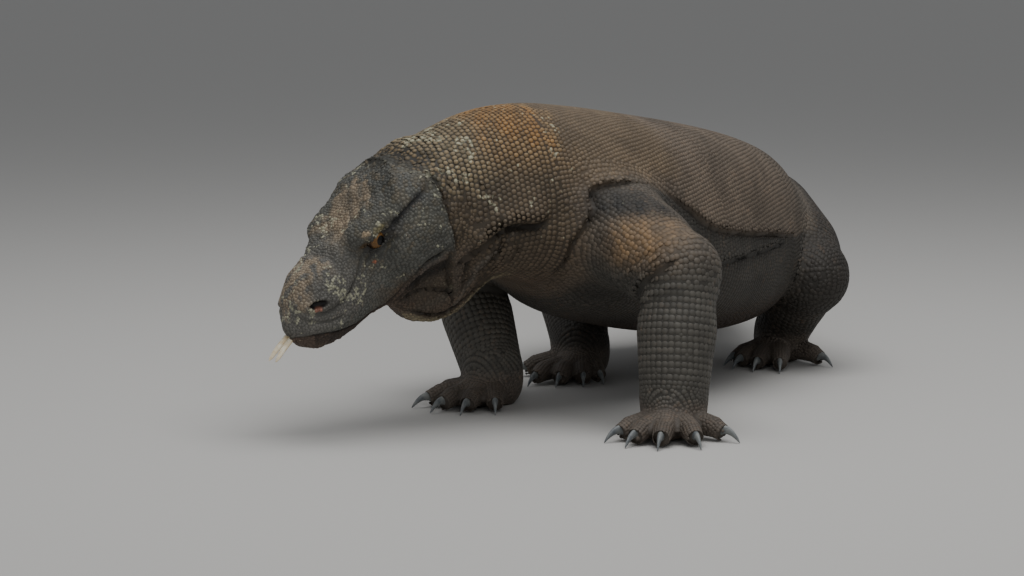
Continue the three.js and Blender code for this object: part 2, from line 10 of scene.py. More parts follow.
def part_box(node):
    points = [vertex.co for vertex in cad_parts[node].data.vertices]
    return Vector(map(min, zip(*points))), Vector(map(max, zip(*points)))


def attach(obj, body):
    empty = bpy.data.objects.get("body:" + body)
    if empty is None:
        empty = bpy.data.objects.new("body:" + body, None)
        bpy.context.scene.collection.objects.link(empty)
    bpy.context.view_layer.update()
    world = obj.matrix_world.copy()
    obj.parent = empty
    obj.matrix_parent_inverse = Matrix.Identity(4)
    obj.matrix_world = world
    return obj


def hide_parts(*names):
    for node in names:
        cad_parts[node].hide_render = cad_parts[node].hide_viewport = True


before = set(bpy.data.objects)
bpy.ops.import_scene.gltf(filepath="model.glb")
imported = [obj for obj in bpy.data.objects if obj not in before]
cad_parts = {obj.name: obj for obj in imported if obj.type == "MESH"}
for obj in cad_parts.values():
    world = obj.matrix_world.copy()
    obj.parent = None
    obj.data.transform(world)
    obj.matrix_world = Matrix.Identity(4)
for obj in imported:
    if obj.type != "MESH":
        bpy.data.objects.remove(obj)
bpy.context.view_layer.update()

# ------------------------------------------------------------------ the body's form
# The animal is worked out in millimetres, facing -Y with its left side +X: a spine of arcs
# bent sideways, with a section at each station, a head on the end of it, and four limbs.

SHOULDERS = (20, -335)  # where the spine's arcs start, in plan
FIRST_HEADING = 12  # degrees towards the animal's right
ARC_LENGTHS = (-300, 672, 288, 480, 600)  # neck, trunk, and three lengths of tail
ARC_HEADINGS = (32, -21, -32, -40, -14)  # at each arc's far end
# Distance behind the shoulders, half width, height of the widest level, top, bottom and
# squareness of the section, where 2 is an ellipse.
SPINE = np.array([
    [-320, 84, 306, 394, 226, 2.1],
    [-260, 94, 308, 419, 214, 2.1],
    [-170, 106, 306, 452, 212, 2.1],
    [-80, 124, 294, 463, 196, 2.2],
    [0, 142, 276, 458, 146, 2.3],
    [120, 160, 250, 443, 114, 2.3],
    [300, 175, 228, 418, 84, 2.4],
    [450, 176, 220, 394, 74, 2.4],
    [580, 156, 224, 370, 86, 2.3],
    [690, 122, 224, 333, 110, 2.2],
    [780, 96, 208, 298, 122, 2.1],
    [900, 84, 180, 268, 100, 2.0],
    [1050, 68, 122, 212, 48, 2.0],
    [1200, 58, 74, 166, 4, 2.0],
    [1330, 51, 56, 140, -3, 2.0],
    [1500, 42, 46, 112, -3, 2.0],
    [1700, 32, 34, 82, -3, 2.0],
    [1900, 20, 22, 50, -3, 2.0],
    [2000, 12, 13, 30, -3, 2.0],
    [2030, 7, 8, 17, -3, 2.0],
])


def smooth_min(a, b, k):
    """The lesser of two distances, its corner rounded: less a quarter of k times the square
    of how far within k of each other they are."""
    h = np.maximum(k - np.abs(a - b), 0) / k
    return np.minimum(a, b) - h * h * k / 4


def ease(x):
    """From 0 to 1 as x goes from 0 to 1, as 3x squared less 2x cubed."""
    x = np.clip(x, 0, 1)
    return x * x * (3 - 2 * x)


def hump(x, at, width):
    """A smooth hump, 1 at its middle: e to less the square of the way from there in widths."""
    return np.exp(-(((x - at) / width) ** 2))


def unit(ways):
    """Each way at a length of 1."""
    return ways / np.maximum(np.linalg.norm(ways, axis=-1, keepdims=True), 1e-9)


def between(rows, x):
    """A table's columns at any x: a cubic through the stations, whose slope at each is that
    of the line between its neighbours."""
    rows = np.asarray(rows, float)
    at, value = rows[:, 0], rows[:, 1:]
    lo = np.maximum(np.arange(len(at)) - 1, 0)
    hi = np.minimum(np.arange(len(at)) + 1, len(at) - 1)
    slope = (value[hi] - value[lo]) / (at[hi] - at[lo])[:, None]
    x = np.clip(x, at[0], at[-1])
    i = np.clip(np.searchsorted(at, x) - 1, 0, len(at) - 2)
    h = (at[i + 1] - at[i])[:, None]
    t = (x - at[i])[:, None] / h
    start = (2 * t**3 - 3 * t**2 + 1) * value[i] + (t**3 - 2 * t**2 + t) * h * slope[i]
    end = (3 * t**2 - 2 * t**3) * value[i + 1] + (t**3 - t**2) * h * slope[i + 1]
    return start + end


def section_distance(across, up, section):
    """About how far a point lies outside a section: its reach from the section's middle,
    less where the superellipse |across/wide|^n + |up/tall|^n = 1 cuts that ray."""
    wide, level, top, bottom, square = section.T
    rise = up - level
    tall = np.where(rise > 0, top - level, level - bottom)
    q = ((np.abs(across) / wide) ** square + (np.abs(rise) / tall) ** square) ** (1 / square)
    return np.hypot(across, rise) * (1 - 1 / np.maximum(q, 1e-3))


def ellipsoid(p, centre, radii):
    """Distance to an ellipsoid: q(q - 1) over the length of q's gradient, where q is the
    point's distance from the centre measured in radii."""
    q = (p - np.asarray(centre)) / radii
    near = np.linalg.norm(q, axis=1)
    steep = np.maximum(np.linalg.norm(q / radii, axis=1), 1e-6)
    return near * (near - 1) / steep


def bone(p, a, b, ra, rb):
    """Distance to a round straight length from a to b whose radius goes from ra to rb."""
    d = b - a
    t = np.clip((p - a) @ d / (d @ d), 0, 1)
    return np.linalg.norm(p - a - t[:, None] * d, axis=1) - (ra + (rb - ra) * t)


def spine_arcs():
    """Each arc's front and back as (x, y, heading, distance behind the shoulders), its
    signed radius and its centre. Backward along the spine is (sin heading, cos heading)."""
    found = []
    here = (*SHOULDERS, np.radians(FIRST_HEADING), 0.0)
    for n, (length, to) in enumerate(zip(ARC_LENGTHS, np.radians(ARC_HEADINGS))):
        x, y, heading, s = here
        radius = length / (to - heading)
        centre = (x + radius * np.cos(heading), y - radius * np.sin(heading))
        end = (centre[0] - radius * np.cos(to), centre[1] + radius * np.sin(to), to, s + length)
        front, back = (end, here) if n == 0 else (here, end)
        found.append((front, back, radius, centre))
        here = here if n == 0 else end
    return found


ARCS = spine_arcs()


def along_spine(p):
    """Distance behind the shoulders and to the left of the spine, from the arc that each
    point lies beside: the turn about its centre times its radius, and radius less reach."""
    x, y = p[:, 0], p[:, 1]
    s, left = np.empty((2, len(p)))
    beside = np.zeros(len(p), int)
    for n, (front, _, _, _) in enumerate(ARCS[1:], 1):
        fx, fy, heading, _ = front
        beside[(x - fx) * np.sin(heading) + (y - fy) * np.cos(heading) > 0] = n
    for n, (front, _, radius, centre) in enumerate(ARCS):
        mine = beside == n
        cx, cy = x[mine] - centre[0], y[mine] - centre[1]
        sign = np.sign(radius)
        heading = np.arctan2(cy * sign, -cx * sign)
        s[mine] = front[3] + radius * (heading - front[2])
        left[mine] = radius - sign * np.hypot(cx, cy)
    return s, left


def spine_place(s, left):
    """The place in plan, and the heading, at a distance behind the shoulders and to the left."""
    placed = np.empty((3, *s.shape))
    for n, (front, _, radius, centre) in enumerate(ARCS):
        mine = s >= front[3] if n else np.ones(s.shape, bool)
        heading = front[2] + (s[mine] - front[3]) / radius
        reach = radius - left[mine]
        placed[:, mine] = (
            centre[0] - reach * np.cos(heading), centre[1] + reach * np.sin(heading), heading)
    return placed


def spine_distance(p, s, left):
    """Distance outside neck, trunk and tail: the section's, and past either end of the spine
    the root of its square and the square of how far past."""
    inside = section_distance(left, p[:, 2], between(SPINE, s))
    beyond = np.maximum(np.maximum(SPINE[0, 0] - s, s - SPINE[-1, 0]), 0)
    return np.where(beyond > 0, np.hypot(np.maximum(inside, 0), beyond), inside)


# The head has its own frame: u forward, v to its left, w up, from the middle of the nape.
HEAD_AT = np.array([-86, -596, 325.0])
HEAD_HEADING, HEAD_PITCH = np.radians(18), np.radians(32)
FORWARD = np.array([
    -np.sin(HEAD_HEADING) * np.cos(HEAD_PITCH),
    -np.cos(HEAD_HEADING) * np.cos(HEAD_PITCH),
    -np.sin(HEAD_PITCH)])
LEFTWARD = np.array([np.cos(HEAD_HEADING), -np.sin(HEAD_HEADING), 0])
HEAD_AXES = np.stack([FORWARD, LEFTWARD, np.cross(FORWARD, LEFTWARD)])
# u, half width, widest level, top, bottom and squareness.
SKULL = np.array([
    [-60, 84, -8, 62, -70, 2.0],
    [-20, 88, -12, 68, -76, 2.3],
    [30, 88, -14, 69, -80, 2.6],
    [70, 74, -10, 58, -90, 2.6],
    [105, 60, -10, 45, -105, 2.5],
    [140, 49, -16, 32, -101, 2.4],
    [175, 46, -20, 26, -101, 2.5],
    [205, 43, -24, 22, -95, 2.4],
    [230, 36, -30, 7, -87, 2.3],
    [246, 28, -36, -8, -77, 2.2],
    [256, 17, -42, -18, -67, 2.1],
    [261, 8, -44, -28, -58, 2.0]])
BROW, BROW_RADII = (94, 47, 31), (37, 17, 17)
JOWL, JOWL_RADII = (22, 62, -30), (62, 34, 52)
POUCH, POUCH_RADII = (-4, 4, -115), (96, 58, 72)
EYE_AT, EYE_RADIUS = np.array([99, 55, 13.5]), 14


def in_head(p):
    """Body-frame points as u, v and w: their ways from the nape along the head's axes."""
    return (p - HEAD_AT) @ HEAD_AXES.T


def from_head(q):
    """Points given as u, v and w back in the body's frame: the nape plus each axis so far."""
    return np.asarray(q, float) @ HEAD_AXES + HEAD_AT


def mirrored(q):
    """The head's right side laid on its left."""
    return np.stack([q[:, 0], np.abs(q[:, 1]), q[:, 2]], 1)


def head_distance(q):
    """Distance outside the head's plain form: the skull's sections, which brows, jowls and
    the throat's pouch are blended into."""
    u, v, w = q.T
    inside = section_distance(v, w, between(SKULL, u))
    beyond = np.maximum(np.maximum(SKULL[0, 0] - u, u - SKULL[-1, 0]), 0)
    d = np.where(beyond > 0, np.hypot(np.maximum(inside, 0), beyond), inside)
    d = smooth_min(d, ellipsoid(mirrored(q), BROW, BROW_RADII), 22)
    d = smooth_min(d, ellipsoid(mirrored(q), JOWL, JOWL_RADII), 26)
    return smooth_min(d, ellipsoid(q, POUCH, POUCH_RADII), 30)


# Each limb: its side, joints (shoulder or hip, elbow or knee, wrist or ankle), radii from
# root to ankle, how far out its root blends into the trunk, and its paw's heading.
LIMBS = {
    "arm_left": (
        1, [[114, -342, 285], [278, -422, 230], [290, -464, 62]], [78, 66, 56, 54, 45], 0.42, -14),
    "arm_right": (
        -1, [[-85, -315, 285], [-192, -244, 190], [-84, -332, 62]], [78, 64, 54, 51, 43], 0.5, 8),
    "leg_left": (
        1, [[60, 340, 226], [186, 232, 156], [92, 318, 60]], [78, 76, 60, 50, 41], 0.42, -5),
    "leg_right": (
        -1, [[-138, 315, 232], [-230, 142, 178], [-114, 2, 60]], [80, 76, 60, 52, 44], 0.45, -18),
}
# Digits from the inner to the outer: turn outward in degrees, reach from the ankle, and how
# far forward the palm goes.
DIGITS = {
    "arm": ((-40, -17, 4, 30, 68), (92, 106, 112, 104, 84), 34),
    "leg": ((-27, -12, 4, 20, 66), (98, 120, 134, 142, 92), 44),
}
DIGIT_RADII = (20, 18, 16, 13.5)


def ahead(limb, turn, reach, height):
    """A place ahead of a limb's ankle, turned outward."""
    side, joints, _, _, heading = LIMBS[limb]
    way = np.radians(heading - side * turn)
    ankle = joints[2]
    return np.array([ankle[0] - reach * np.sin(way), ankle[1] - reach * np.cos(way), height])


def digit_path(limb, n):
    """The four points of a digit's middle line, from the palm to its tip."""
    turn, reach = DIGITS[limb[:3]][0][n], DIGITS[limb[:3]][1][n]
    places = ((14, 24), (reach * 0.55, 23), (reach * 0.82, 20), (reach * 0.98, 14))
    return [ahead(limb, turn, out, height) for out, height in places]


def limb_distance(limb, p):
    """Distance to a limb: its upper and lower lengths, its palm and its five digits."""
    _, joints, radii, _, _ = LIMBS[limb]
    root, knee, ankle = np.array(joints, float)
    thigh, shin = (root + knee) / 2, (knee + ankle) / 2
    upper = np.minimum(bone(p, root, thigh, *radii[:2]), bone(p, thigh, knee, *radii[1:3]))
    lower = np.minimum(bone(p, knee, shin, *radii[2:4]), bone(p, shin, ankle, *radii[3:5]))
    d = smooth_min(upper, lower, 18)
    near = np.linalg.norm(p - ankle, axis=1) < 240
    q = p[near]
    heel, knuckles = ahead(limb, 0, 0, 34), ahead(limb, 0, DIGITS[limb[:3]][2] + 12, 22)
    sole = bone(q, heel, knuckles, radii[4] * 0.95, 25)
    palm = smooth_min(bone(q, shin, heel, *radii[3:5]), sole, 18)
    for n in range(5):
        path = digit_path(limb, n)
        bones = [bone(q, path[i], path[i + 1], *DIGIT_RADII[i:i + 2]) for i in range(3)]
        digit = np.min(bones, axis=0)
        palm = smooth_min(palm, digit, 9)
    d[near] = smooth_min(d[near], palm, 16)
    return d


# ------------------------------------------------------------------ folds and features
# Loose skin hangs in folds: each course gives one measure against another along it, and how
# strong the fold is there.
SHOULDER_FOLD = [
    [-70, 314, 0.4], [-55, 342, 0.9], [-36, 349, 1.0], [-18, 351, 0.9], [4, 350, 0.25],
    [40, 345, 0.1], [80, 330, 0.1], [108, 312, 0.6], [130, 297, 1.0], [155, 279, 1.2],
    [190, 266, 1.2], [240, 257, 1.3], [300, 250, 1.3], [390, 239, 1.0], [440, 234, 0.6]]
FLANK_FOLD = [[150, 205, 0.5], [190, 214, 1.0], [256, 220, 1.2], [330, 225, 1.2], [400, 230, 0.8]]
NECK_FOLD = [[-240, 243, 0.6], [-225, 258, 1.0], [-210, 270, 1.2], [-195, 284, 1.2],
             [-180, 294, 1.2], [-160, 298, 1.0], [-133, 297, 0.8], [-108, 306, 0.4]]
THROAT_FOLD = [[-212, 196, 0.6], [-203, 214, 1.0], [-194, 232, 1.0], [-184, 250, 1.0],
               [-175, 270, 0.8], [-168, 286, 0.4]]
BREAST_FOLD = [[212, -79, 0.4], [230, -81, 1.0], [268, -81, 1.0], [305, -64, 1.0],
               [335, -56, 0.9], [352, -53, 0.4]]
EAR_FOLD = [[-74, 16, 0.3], [-60, 15, 0.7], [-45, 13, 1.0], [-22, 9, 1.0],
            [11, -2, 1.0], [34, -11, 0.8], [60, -8, 0.4]]
STRAP_EDGES = (
    [[-168, 22, 0.3], [-150, 22, 0.7], [-120, 23, 1.0],
     [-90, 22, 1.0], [-64, 20, 0.9], [-46, 17, 0.4]],
    [[-150, 4, 0.3], [-128, 0, 0.8], [-112, -4, 1.0],
     [-94, -6, 1.0], [-76, -8, 0.8], [-62, -8, 0.3]],
)
TEMPLE_GROOVE = [[0, 39, 0.5], [25, 36, 1.0], [45, 33, 1.0], [63, 27, 1.0], [82, 19, 0.8]]
LIP_GROOVE = [[118, 14, 0.5], [127, 6, 0.8], [141, -9, 1.0], [157, -21, 1.0], [172, -29, 1.0],
              [196, -32, 1.0], [216, -29, 1.0], [232, -20, 0.9], [242, -8, 0.7], [248, -2, 0.4]]
LIP_WRINKLE = [[184, -50, 0.3], [196, -50, 0.8], [208, -47, 1.0], [227, -38, 1.0],
               [242, -24, 0.8], [252, -12, 0.4]]
POUCH_FOLDS = (
    [[14, -134, 0.3], [29, -125, 0.9], [47, -109, 1.0],
     [66, -100, 1.0], [82, -102, 0.8], [98, -108, 0.3]],
    [[-60, -158, 0.4], [-30, -165, 0.8], [8, -169, 1.0], [32, -167, 1.0],
     [46, -163, 1.0], [60, -154, 1.0], [79, -136, 0.9], [94, -120, 0.4]],
)
ROPE = [[-170, 30], [-155, 12], [-142, -9], [-117, -14], [-104, -30], [-98, -62], [-90, -80]]
LIPS = [[20, -48], [34, -51], [51, -50], [62, -53], [72, -60], [85, -73], [97, -81], [112, -85],
        [130, -86], [150, -83], [180, -79], [208, -69], [232, -56], [262, -44]]
NOSTRIL_AT = np.array([219, 40, -15.0])


def on_skull(q, reach=165):
    """Whether a place is round the head at all, and not on a shoulder or an arm."""
    return (np.hypot(q[:, 1], q[:, 2] + 50) < reach) & (q[:, 0] < 275)


def fold(along, across, course, lip, breadth, depth, width=3.0):
    """How far a fold stands out: off its crease, the side that hangs over stands out by lip
    and dies away over breadth, and the crease is a groove of that depth. A negative breadth
    hangs over on the lower side. It fades at both ends of its course."""
    at, strength = between(course, along).T
    slope = (between(course, along + 2)[:, 0] - between(course, along - 2)[:, 0]) / 4
    off = (across - at) / np.sqrt(1 + slope**2) * np.sign(breadth)
    over = lip * ease(off / 5 + 0.5) * np.exp(-np.maximum(off, 0) / abs(breadth))
    fade = min(20, (course[-1][0] - course[0][0]) / 5)
    ends = ease((along - course[0][0]) / fade) * ease((course[-1][0] - along) / fade)
    return strength * ends * (over - depth * hump(off, -0.6 * width, width))


def from_slit(u, w):
    """How far ahead of the eye's middle, and how far above the line of its slit, which rises
    backward by a fifth."""
    ahead_by = u - EYE_AT[0]
    return ahead_by, w - (EYE_AT[2] - 1.0 - 0.2 * ahead_by)


def eye_slit(q):
    """1 inside the slit between the eyelids, 0 outside: a pointed oval."""
    a, b = from_slit(q[:, 0], q[:, 2])
    half = 8.2 * np.maximum(1 - (a / 25) ** 2, 0) ** 0.7
    near_eye = np.linalg.norm(np.stack([a, np.abs(q[:, 1]) - EYE_AT[1], b], 1), axis=1) < 28
    return near_eye * ease((half - np.abs(b)) / 1.2 + 0.5) * (np.abs(a) < 25)


def nostril(q):
    """How far from a nostril's middle, in its own half widths: an oval tilted up in front."""
    back = (q[:, 0] - NOSTRIL_AT[0]) / 11
    rise = (q[:, 2] - NOSTRIL_AT[2] - 0.25 * (q[:, 0] - NOSTRIL_AT[0])) / 5.4
    return np.hypot(back, rise) + 9 * ((np.abs(q[:, 1]) < 14) | (np.abs(back) > 3))


def ripple(p, length):
    """An uneven value from -1 to 1 that changes over about that length: three crossed waves."""
    ways = np.array([[1, 0.3, 0.5], [-0.4, 1, 0.6], [0.5, -0.6, 1]]) * 2 * np.pi / length
    return np.sin(p @ ways.T + 1.7 * np.sin(p @ ways[::-1].T * 0.6)).mean(1) * 1.5


def head_relief(q):
    """How far the head's features stand out of its plain form."""
    near = on_skull(q) & (q[:, 0] > -70)
    relief = np.zeros(len(q))
    face = q[near]
    u, side, w = face[:, 0], np.abs(face[:, 1]), face[:, 2]
    flank = ease((side - 26) / 20)
    out = fold(w, u, EAR_FOLD, 6, 24, 6, 3.5) * ease((side - 40) / 20)
    out += fold(u, w, TEMPLE_GROOVE, 3, 16, 4.5) * flank
    out += fold(u, w, LIP_GROOVE, 2.2, 14, 3.2, 2.6) * ease((side - 3) / 8)
    out += fold(u, w, LIP_WRINKLE, 1.6, 9, 2.4, 2.2) * ease((side - 3) / 8)
    for course, breadth in zip(POUCH_FOLDS, (12, -13)):
        out += fold(u, w, course, 5, breadth, 5.5, 3.5) * ease((side - 14) / 16)
    for course, lip in zip(STRAP_EDGES, (4, 0)):
        out += fold(w, u, course, lip, -14, 5, 3.5) * ease((side - 30) / 16)
    # Behind its corner the mouth goes on as a deep crease over a ridge, with a hollow under it.
    rear = ease((u - 20) / 14) * ease((112 - u) / 24) * ease((side - 14) / 12)
    from_lips = w - between(LIPS, u)[:, 0]
    out += rear * (4 * hump(from_lips, -12, 5) - 3 * hump(from_lips, -1, 3.4))
    out -= 5 * ease((u - 22) / 8) * ease((92 - u) / 24) * hump(from_lips, -30, 12) * flank
    # The mouth: the lower jaw is set in under a broad upper lip.
    mouth = ease((u - 18) / 26) * np.maximum(ease((side - 3) / 6), ease((u - 205) / 25))
    below = ease(-from_lips / 3 + 0.5) * ease((from_lips + 34) / 24)
    out -= mouth * (3.6 * below + 4.2 * hump(from_lips, -0.8, 2.2))
    out += mouth * 2.4 * hump(from_lips, 9, 7)
    # The lids: a rim round the slit, a hood over it and a bag under it.
    a, b = from_slit(u, w)
    lid = (side > 30) * np.exp(-((a / 30) ** 4))
    out += lid * (1.5 * hump(np.hypot(a / 23, b / 11), 1, 0.2) + 2.6 * hump(b, 15, 5))
    out -= lid * (2.4 * hump(b, -14, 3) + 1.8 * hump(b, -23, 3))
    # A pit for each nostril in the swollen end of the snout, which a hollow parts from the brow.
    hole = nostril(face)
    out += (side > 14) * (2.4 * hump(hole, 0, 2.3) - 9 * ease(1.45 - hole))
    lip_line = between(LIP_GROOVE, np.clip(u, 127, 243))[:, 0]
    swollen = ease((u - 166 + 0.12 * w) / 9) * ease((w - lip_line) / 8)
    out += 2.4 * swollen - 0.8 * hump(u + 0.12 * w, 162, 6) * ease((w + 20) / 20)
    out += 4.2 * hump(u, 146, 17) * ease((w + 4) / 18) * ease((46 - side) / 14)
    # A ridge from the brow towards the nostril, and a shallow valley between the ridges.
    ridge = 30 + (170 - u) * 0.12
    span = ease((u - 100) / 30) * ease((172 - u) / 24)
    out += 2.6 * hump(side, ridge, 8) * span * (w > -5)
    out -= 2.4 * hump(side, 0, 15) * ease((u - 60) / 30) * ease((215 - u) / 40) * (w > 0)
    # Bosses over the back of the head, and the bulge of the jaw's muscle.
    out += 4.0 * hump(u, 46, 34) * hump(w, -12, 24) * flank
    out += 4.5 * hump(u, 26, 32) * hump(side, 68, 20) * ease((w - 14) / 20)
    out -= 6 * hump(u, -18, 24) * ease((w - 30) / 20) * ease((80 - side) / 20)
    out += 0.7 * ripple(face, 27) + 0.5 * ripple(face[:, ::-1], 14)
    relief[near] = out
    return relief


def trunk_relief(p, s, left):
    """How far the folds of neck, shoulder and flank stand out."""
    z, side = p[:, 2], np.abs(left)
    reach = ease((side - 60) / 40) * ease((215 - side) / 20)
    out = fold(s, z, SHOULDER_FOLD, 8, 34, 5, 3.5) * reach
    out += fold(s, z, FLANK_FOLD, 8, 22, 5, 3.5) * reach
    throat = ease((side - 30) / 20) * ease((160 - side) / 20)
    out += fold(s, z, NECK_FOLD, 17, 24, 14, 7) * throat
    out += fold(s, z, THROAT_FOLD, 9, 12, 8, 4) * throat
    breast = fold(z, s, BREAST_FOLD, 6, -24, 7, 3.5)
    out += breast * ease((side - 50) / 30) * ease((165 - side) / 20)
    # Slight waves run down the sides, where the skin is slack.
    slack = ease((side - 70) / 50) * ease((s + 20) / 60) * ease((620 - s) / 120)
    return out + 1.1 * slack * np.sin(s / 17 + 1.4 * np.sin(z / 31)) * ease((300 - z) / 60)


def bend_relief(p):
    """A crease on the inner side of each elbow and knee, on the plane that halves the bend."""
    out = np.zeros(len(p))
    for limb, (_, joints, radii, _, _) in LIMBS.items():
        root, knee, ankle = np.array(joints, float)
        deep = 7 if limb[:3] == "arm" else 3
        upper, lower = unit(knee - root), unit(ankle - knee)
        halving, inner = unit(upper + lower), unit(lower - upper)
        q = p - knee
        side = q @ inner
        off = q @ halving - 13 + 0.15 * np.maximum(side, 0)
        near = ease((radii[2] * 1.8 - np.linalg.norm(q, axis=1)) / 12)
        near *= ease((side + 7 * deep) / (7 * deep))
        rise = ease(-off / 5 + 0.5) * np.exp(np.minimum(off, 0) / 20)
        out += near * deep * (rise - hump(off, 2, 4))
        out += near * 1.5 * np.sin(off / 3.6 + side / 19) * hump(np.abs(off), 24, 15)
    return out


def surface(p):
    """Distance outside the whole animal, with its folds, from millimetre points."""
    s, left = along_spine(p)
    q = in_head(p)
    d = smooth_min(spine_distance(p, s, left), head_distance(q), 30)
    for limb, (_, joints, radii, root_share, _) in LIMBS.items():
        root, knee = np.array(joints[:2], float)
        end = root + (knee - root) * (root_share + 0.15)
        end_radius = radii[0] + (radii[1] - radii[0]) * root_share * 2
        d = smooth_min(d, bone(p, root, end, radii[0], end_radius), 45)
    for limb in LIMBS:
        d = smooth_min(d, limb_distance(limb, p), 18)
    d = d - trunk_relief(p, s, left) - head_relief(q) - bend_relief(p)
    # Lids swell over the eyeball, and the slit between them sinks behind it.
    ball = np.linalg.norm(mirrored(q) - EYE_AT, axis=1)
    d = smooth_min(d, ball - (EYE_RADIUS + 1.6), 7)
    slit = eye_slit(q)
    return d * (1 - slit) + (ball - (EYE_RADIUS - 3)) * slit


def slope(p, reach=0.6):
    """The unit way out of the surface, by central differences."""
    steps = np.eye(3) * reach
    return unit(np.stack([surface(p + step) - surface(p - step) for step in steps], 1))


def settle(p, depth, rounds=6):
    """Points drawn along the steepest way until they lie that depth inside the surface."""
    p = np.array(p, float)
    off = np.arange(len(p))
    for _ in range(rounds):
        d = surface(p[off]) + depth
        off, d = off[np.abs(d) > 0.03], d[np.abs(d) > 0.03]
        way = np.stack([surface(p[off] + step) + depth - d for step in np.eye(3) * 0.5], 1) / 0.5
        steep = np.maximum((way**2).sum(1), 0.25)
        p[off] -= (np.clip(d, -12, 12) / steep)[:, None] * way
    return p


# ------------------------------------------------------------------ the hide
# One closed skin over head, neck, trunk, limbs and tail, so that no seam shows. It is thick,
# dry and dull, with painted shade darkening it between the scales, and it lies inside the solids by
# a scale's depth.

MM = 0.001
SCALE_DEPTH = 1.5  # from the hide up to the solids' surface
VOXEL = 9.6  # a cell of the hide before it is refined
FLESH = [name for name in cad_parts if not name.startswith(("eye", "claw", "tongue"))]
# The solids' frame is the body's frame moved along the ground; the eyes say how far.
eyes_middle = sum((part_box("eye_left")[i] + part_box("eye_right")[i] for i in (0, 1)), Vector()) / 4
GROUND_SHIFT = np.array(eyes_middle) / MM - from_head([EYE_AT[0], 0, EYE_AT[2]])
GROUND_SHIFT[2] = 0


def mesh_object(name, points, loops, sizes, smooth=True):
    """A mesh piece at the origin from body-frame millimetre points, the corners of its faces
    one after another, and each face's number of corners."""
    mesh = bpy.data.meshes.new(name)
    placed = (np.asarray(points) + GROUND_SHIFT) * MM
    sizes = np.asarray(sizes, np.int32)
    mesh.vertices.add(len(placed))
    mesh.vertices.foreach_set("co", placed.astype(np.float32).ravel())
    mesh.loops.add(int(sizes.sum()))
    mesh.loops.foreach_set("vertex_index", np.asarray(loops, np.int32))
    mesh.polygons.add(len(sizes))
    mesh.polygons.foreach_set("loop_start", (np.cumsum(sizes) - sizes).astype(np.int32))
    mesh.polygons.foreach_set("use_smooth", np.full(len(sizes), smooth))
    mesh.update(calc_edges=True)
    piece = bpy.data.objects.new(name, mesh)
    bpy.context.scene.collection.objects.link(piece)
    return piece


def points_of(mesh):
    """A mesh's vertices as body-frame millimetre points."""
    co = np.empty(len(mesh.vertices) * 3, np.float32)
    mesh.vertices.foreach_get("co", co)
    return co.reshape(-1, 3).astype(float) / MM - GROUND_SHIFT


def move_points(mesh, points):
    """Puts a mesh's vertices at body-frame millimetre points."""
    mesh.vertices.foreach_set("co", ((points + GROUND_SHIFT) * MM).astype(np.float32).ravel())
    mesh.update()


def joined_flesh():
    """The solids of flesh as one closed skin of even cells."""
    build = bmesh.new()
    for name in FLESH:
        build.from_mesh(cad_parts[name].data)
    bmesh.ops.remove_doubles(build, verts=build.verts, dist=1e-6)
    mesh = bpy.data.meshes.new("hide")
    build.to_mesh(mesh)
    build.free()
    rough = bpy.data.objects.new("rough", mesh)
    bpy.context.scene.collection.objects.link(rough)
    cells = rough.modifiers.new("cells", "REMESH")
    cells.mode = "VOXEL"
    cells.voxel_size = VOXEL * MM
    graph = bpy.context.evaluated_depsgraph_get()
    ready = bpy.data.meshes.new_from_object(rough.evaluated_get(graph))
    bpy.data.objects.remove(rough)
    return ready


def fineness(p):
    """How many times the hide's cells are halved: over the folds, the head and its features."""
    q = in_head(p)
    u, v, w = q.T
    side = np.abs(v)
    head = on_skull(q, 160) & (u > -25) & (u < 270)
    face = head & (u > 30) & (w > -108)
    s, left = along_spine(p)
    wanted = head.astype(int)
    for course in (SHOULDER_FOLD, FLANK_FOLD, NECK_FOLD, THROAT_FOLD, BREAST_FOLD):
        along, across = (p[:, 2], s) if course is BREAST_FOLD else (s, p[:, 2])
        on = (along > course[0][0] - 10) & (along < course[-1][0] + 10) & (np.abs(left) < 215)
        wanted = np.maximum(wanted, on & (np.abs(across - between(course, along)[:, 0]) < 16))
    for _, joints, _, _, _ in LIMBS.values():
        wanted = np.maximum(wanted, (np.linalg.norm(p - joints[2], axis=1) < 190) & (p[:, 2] < 60))
    wanted = np.maximum(wanted, 2 * face)
    by_fold = head & (side > 35) & (np.abs(u - between(EAR_FOLD, w)[:, 0]) < 9)
    for course in POUCH_FOLDS:
        by_fold |= head & (u < course[-1][0]) & (np.abs(w - between(course, u)[:, 0]) < 7)
    for course in STRAP_EDGES:
        by_fold |= head & (side > 30) & (w < -40) & (np.abs(u - between(course, w)[:, 0]) < 7)
    wanted = np.maximum(wanted, 2 * by_fold)
    by_eye = np.linalg.norm(mirrored(q) - EYE_AT, axis=1) < 27
    by_nostril = np.linalg.norm(mirrored(q) - NOSTRIL_AT, axis=1) < 16
    by_lips = face & (np.abs(w - between(LIPS, u)[:, 0]) < 5)
    return np.maximum(wanted, 3 * (by_eye | by_nostril | by_lips))


def refine(mesh, level):
    """Halves the cells whose corners want at least that fineness."""
    wanted = fineness(points_of(mesh)) >= level
    build = bmesh.new()
    build.from_mesh(mesh)
    build.verts.ensure_lookup_table()
    edges = [e for e in build.edges if wanted[e.verts[0].index] and wanted[e.verts[1].index]]
    bmesh.ops.subdivide_edges(build, edges=edges, cuts=1, use_grid_fill=True)
    build.to_mesh(mesh)
    build.free()


def linear(*colour):
    """A colour of screen values from 0 to 255 as light: (c + 0.055) / 1.055 to the 2.4."""
    return ((np.array(colour) / 255 + 0.055) / 1.055) ** 2.4


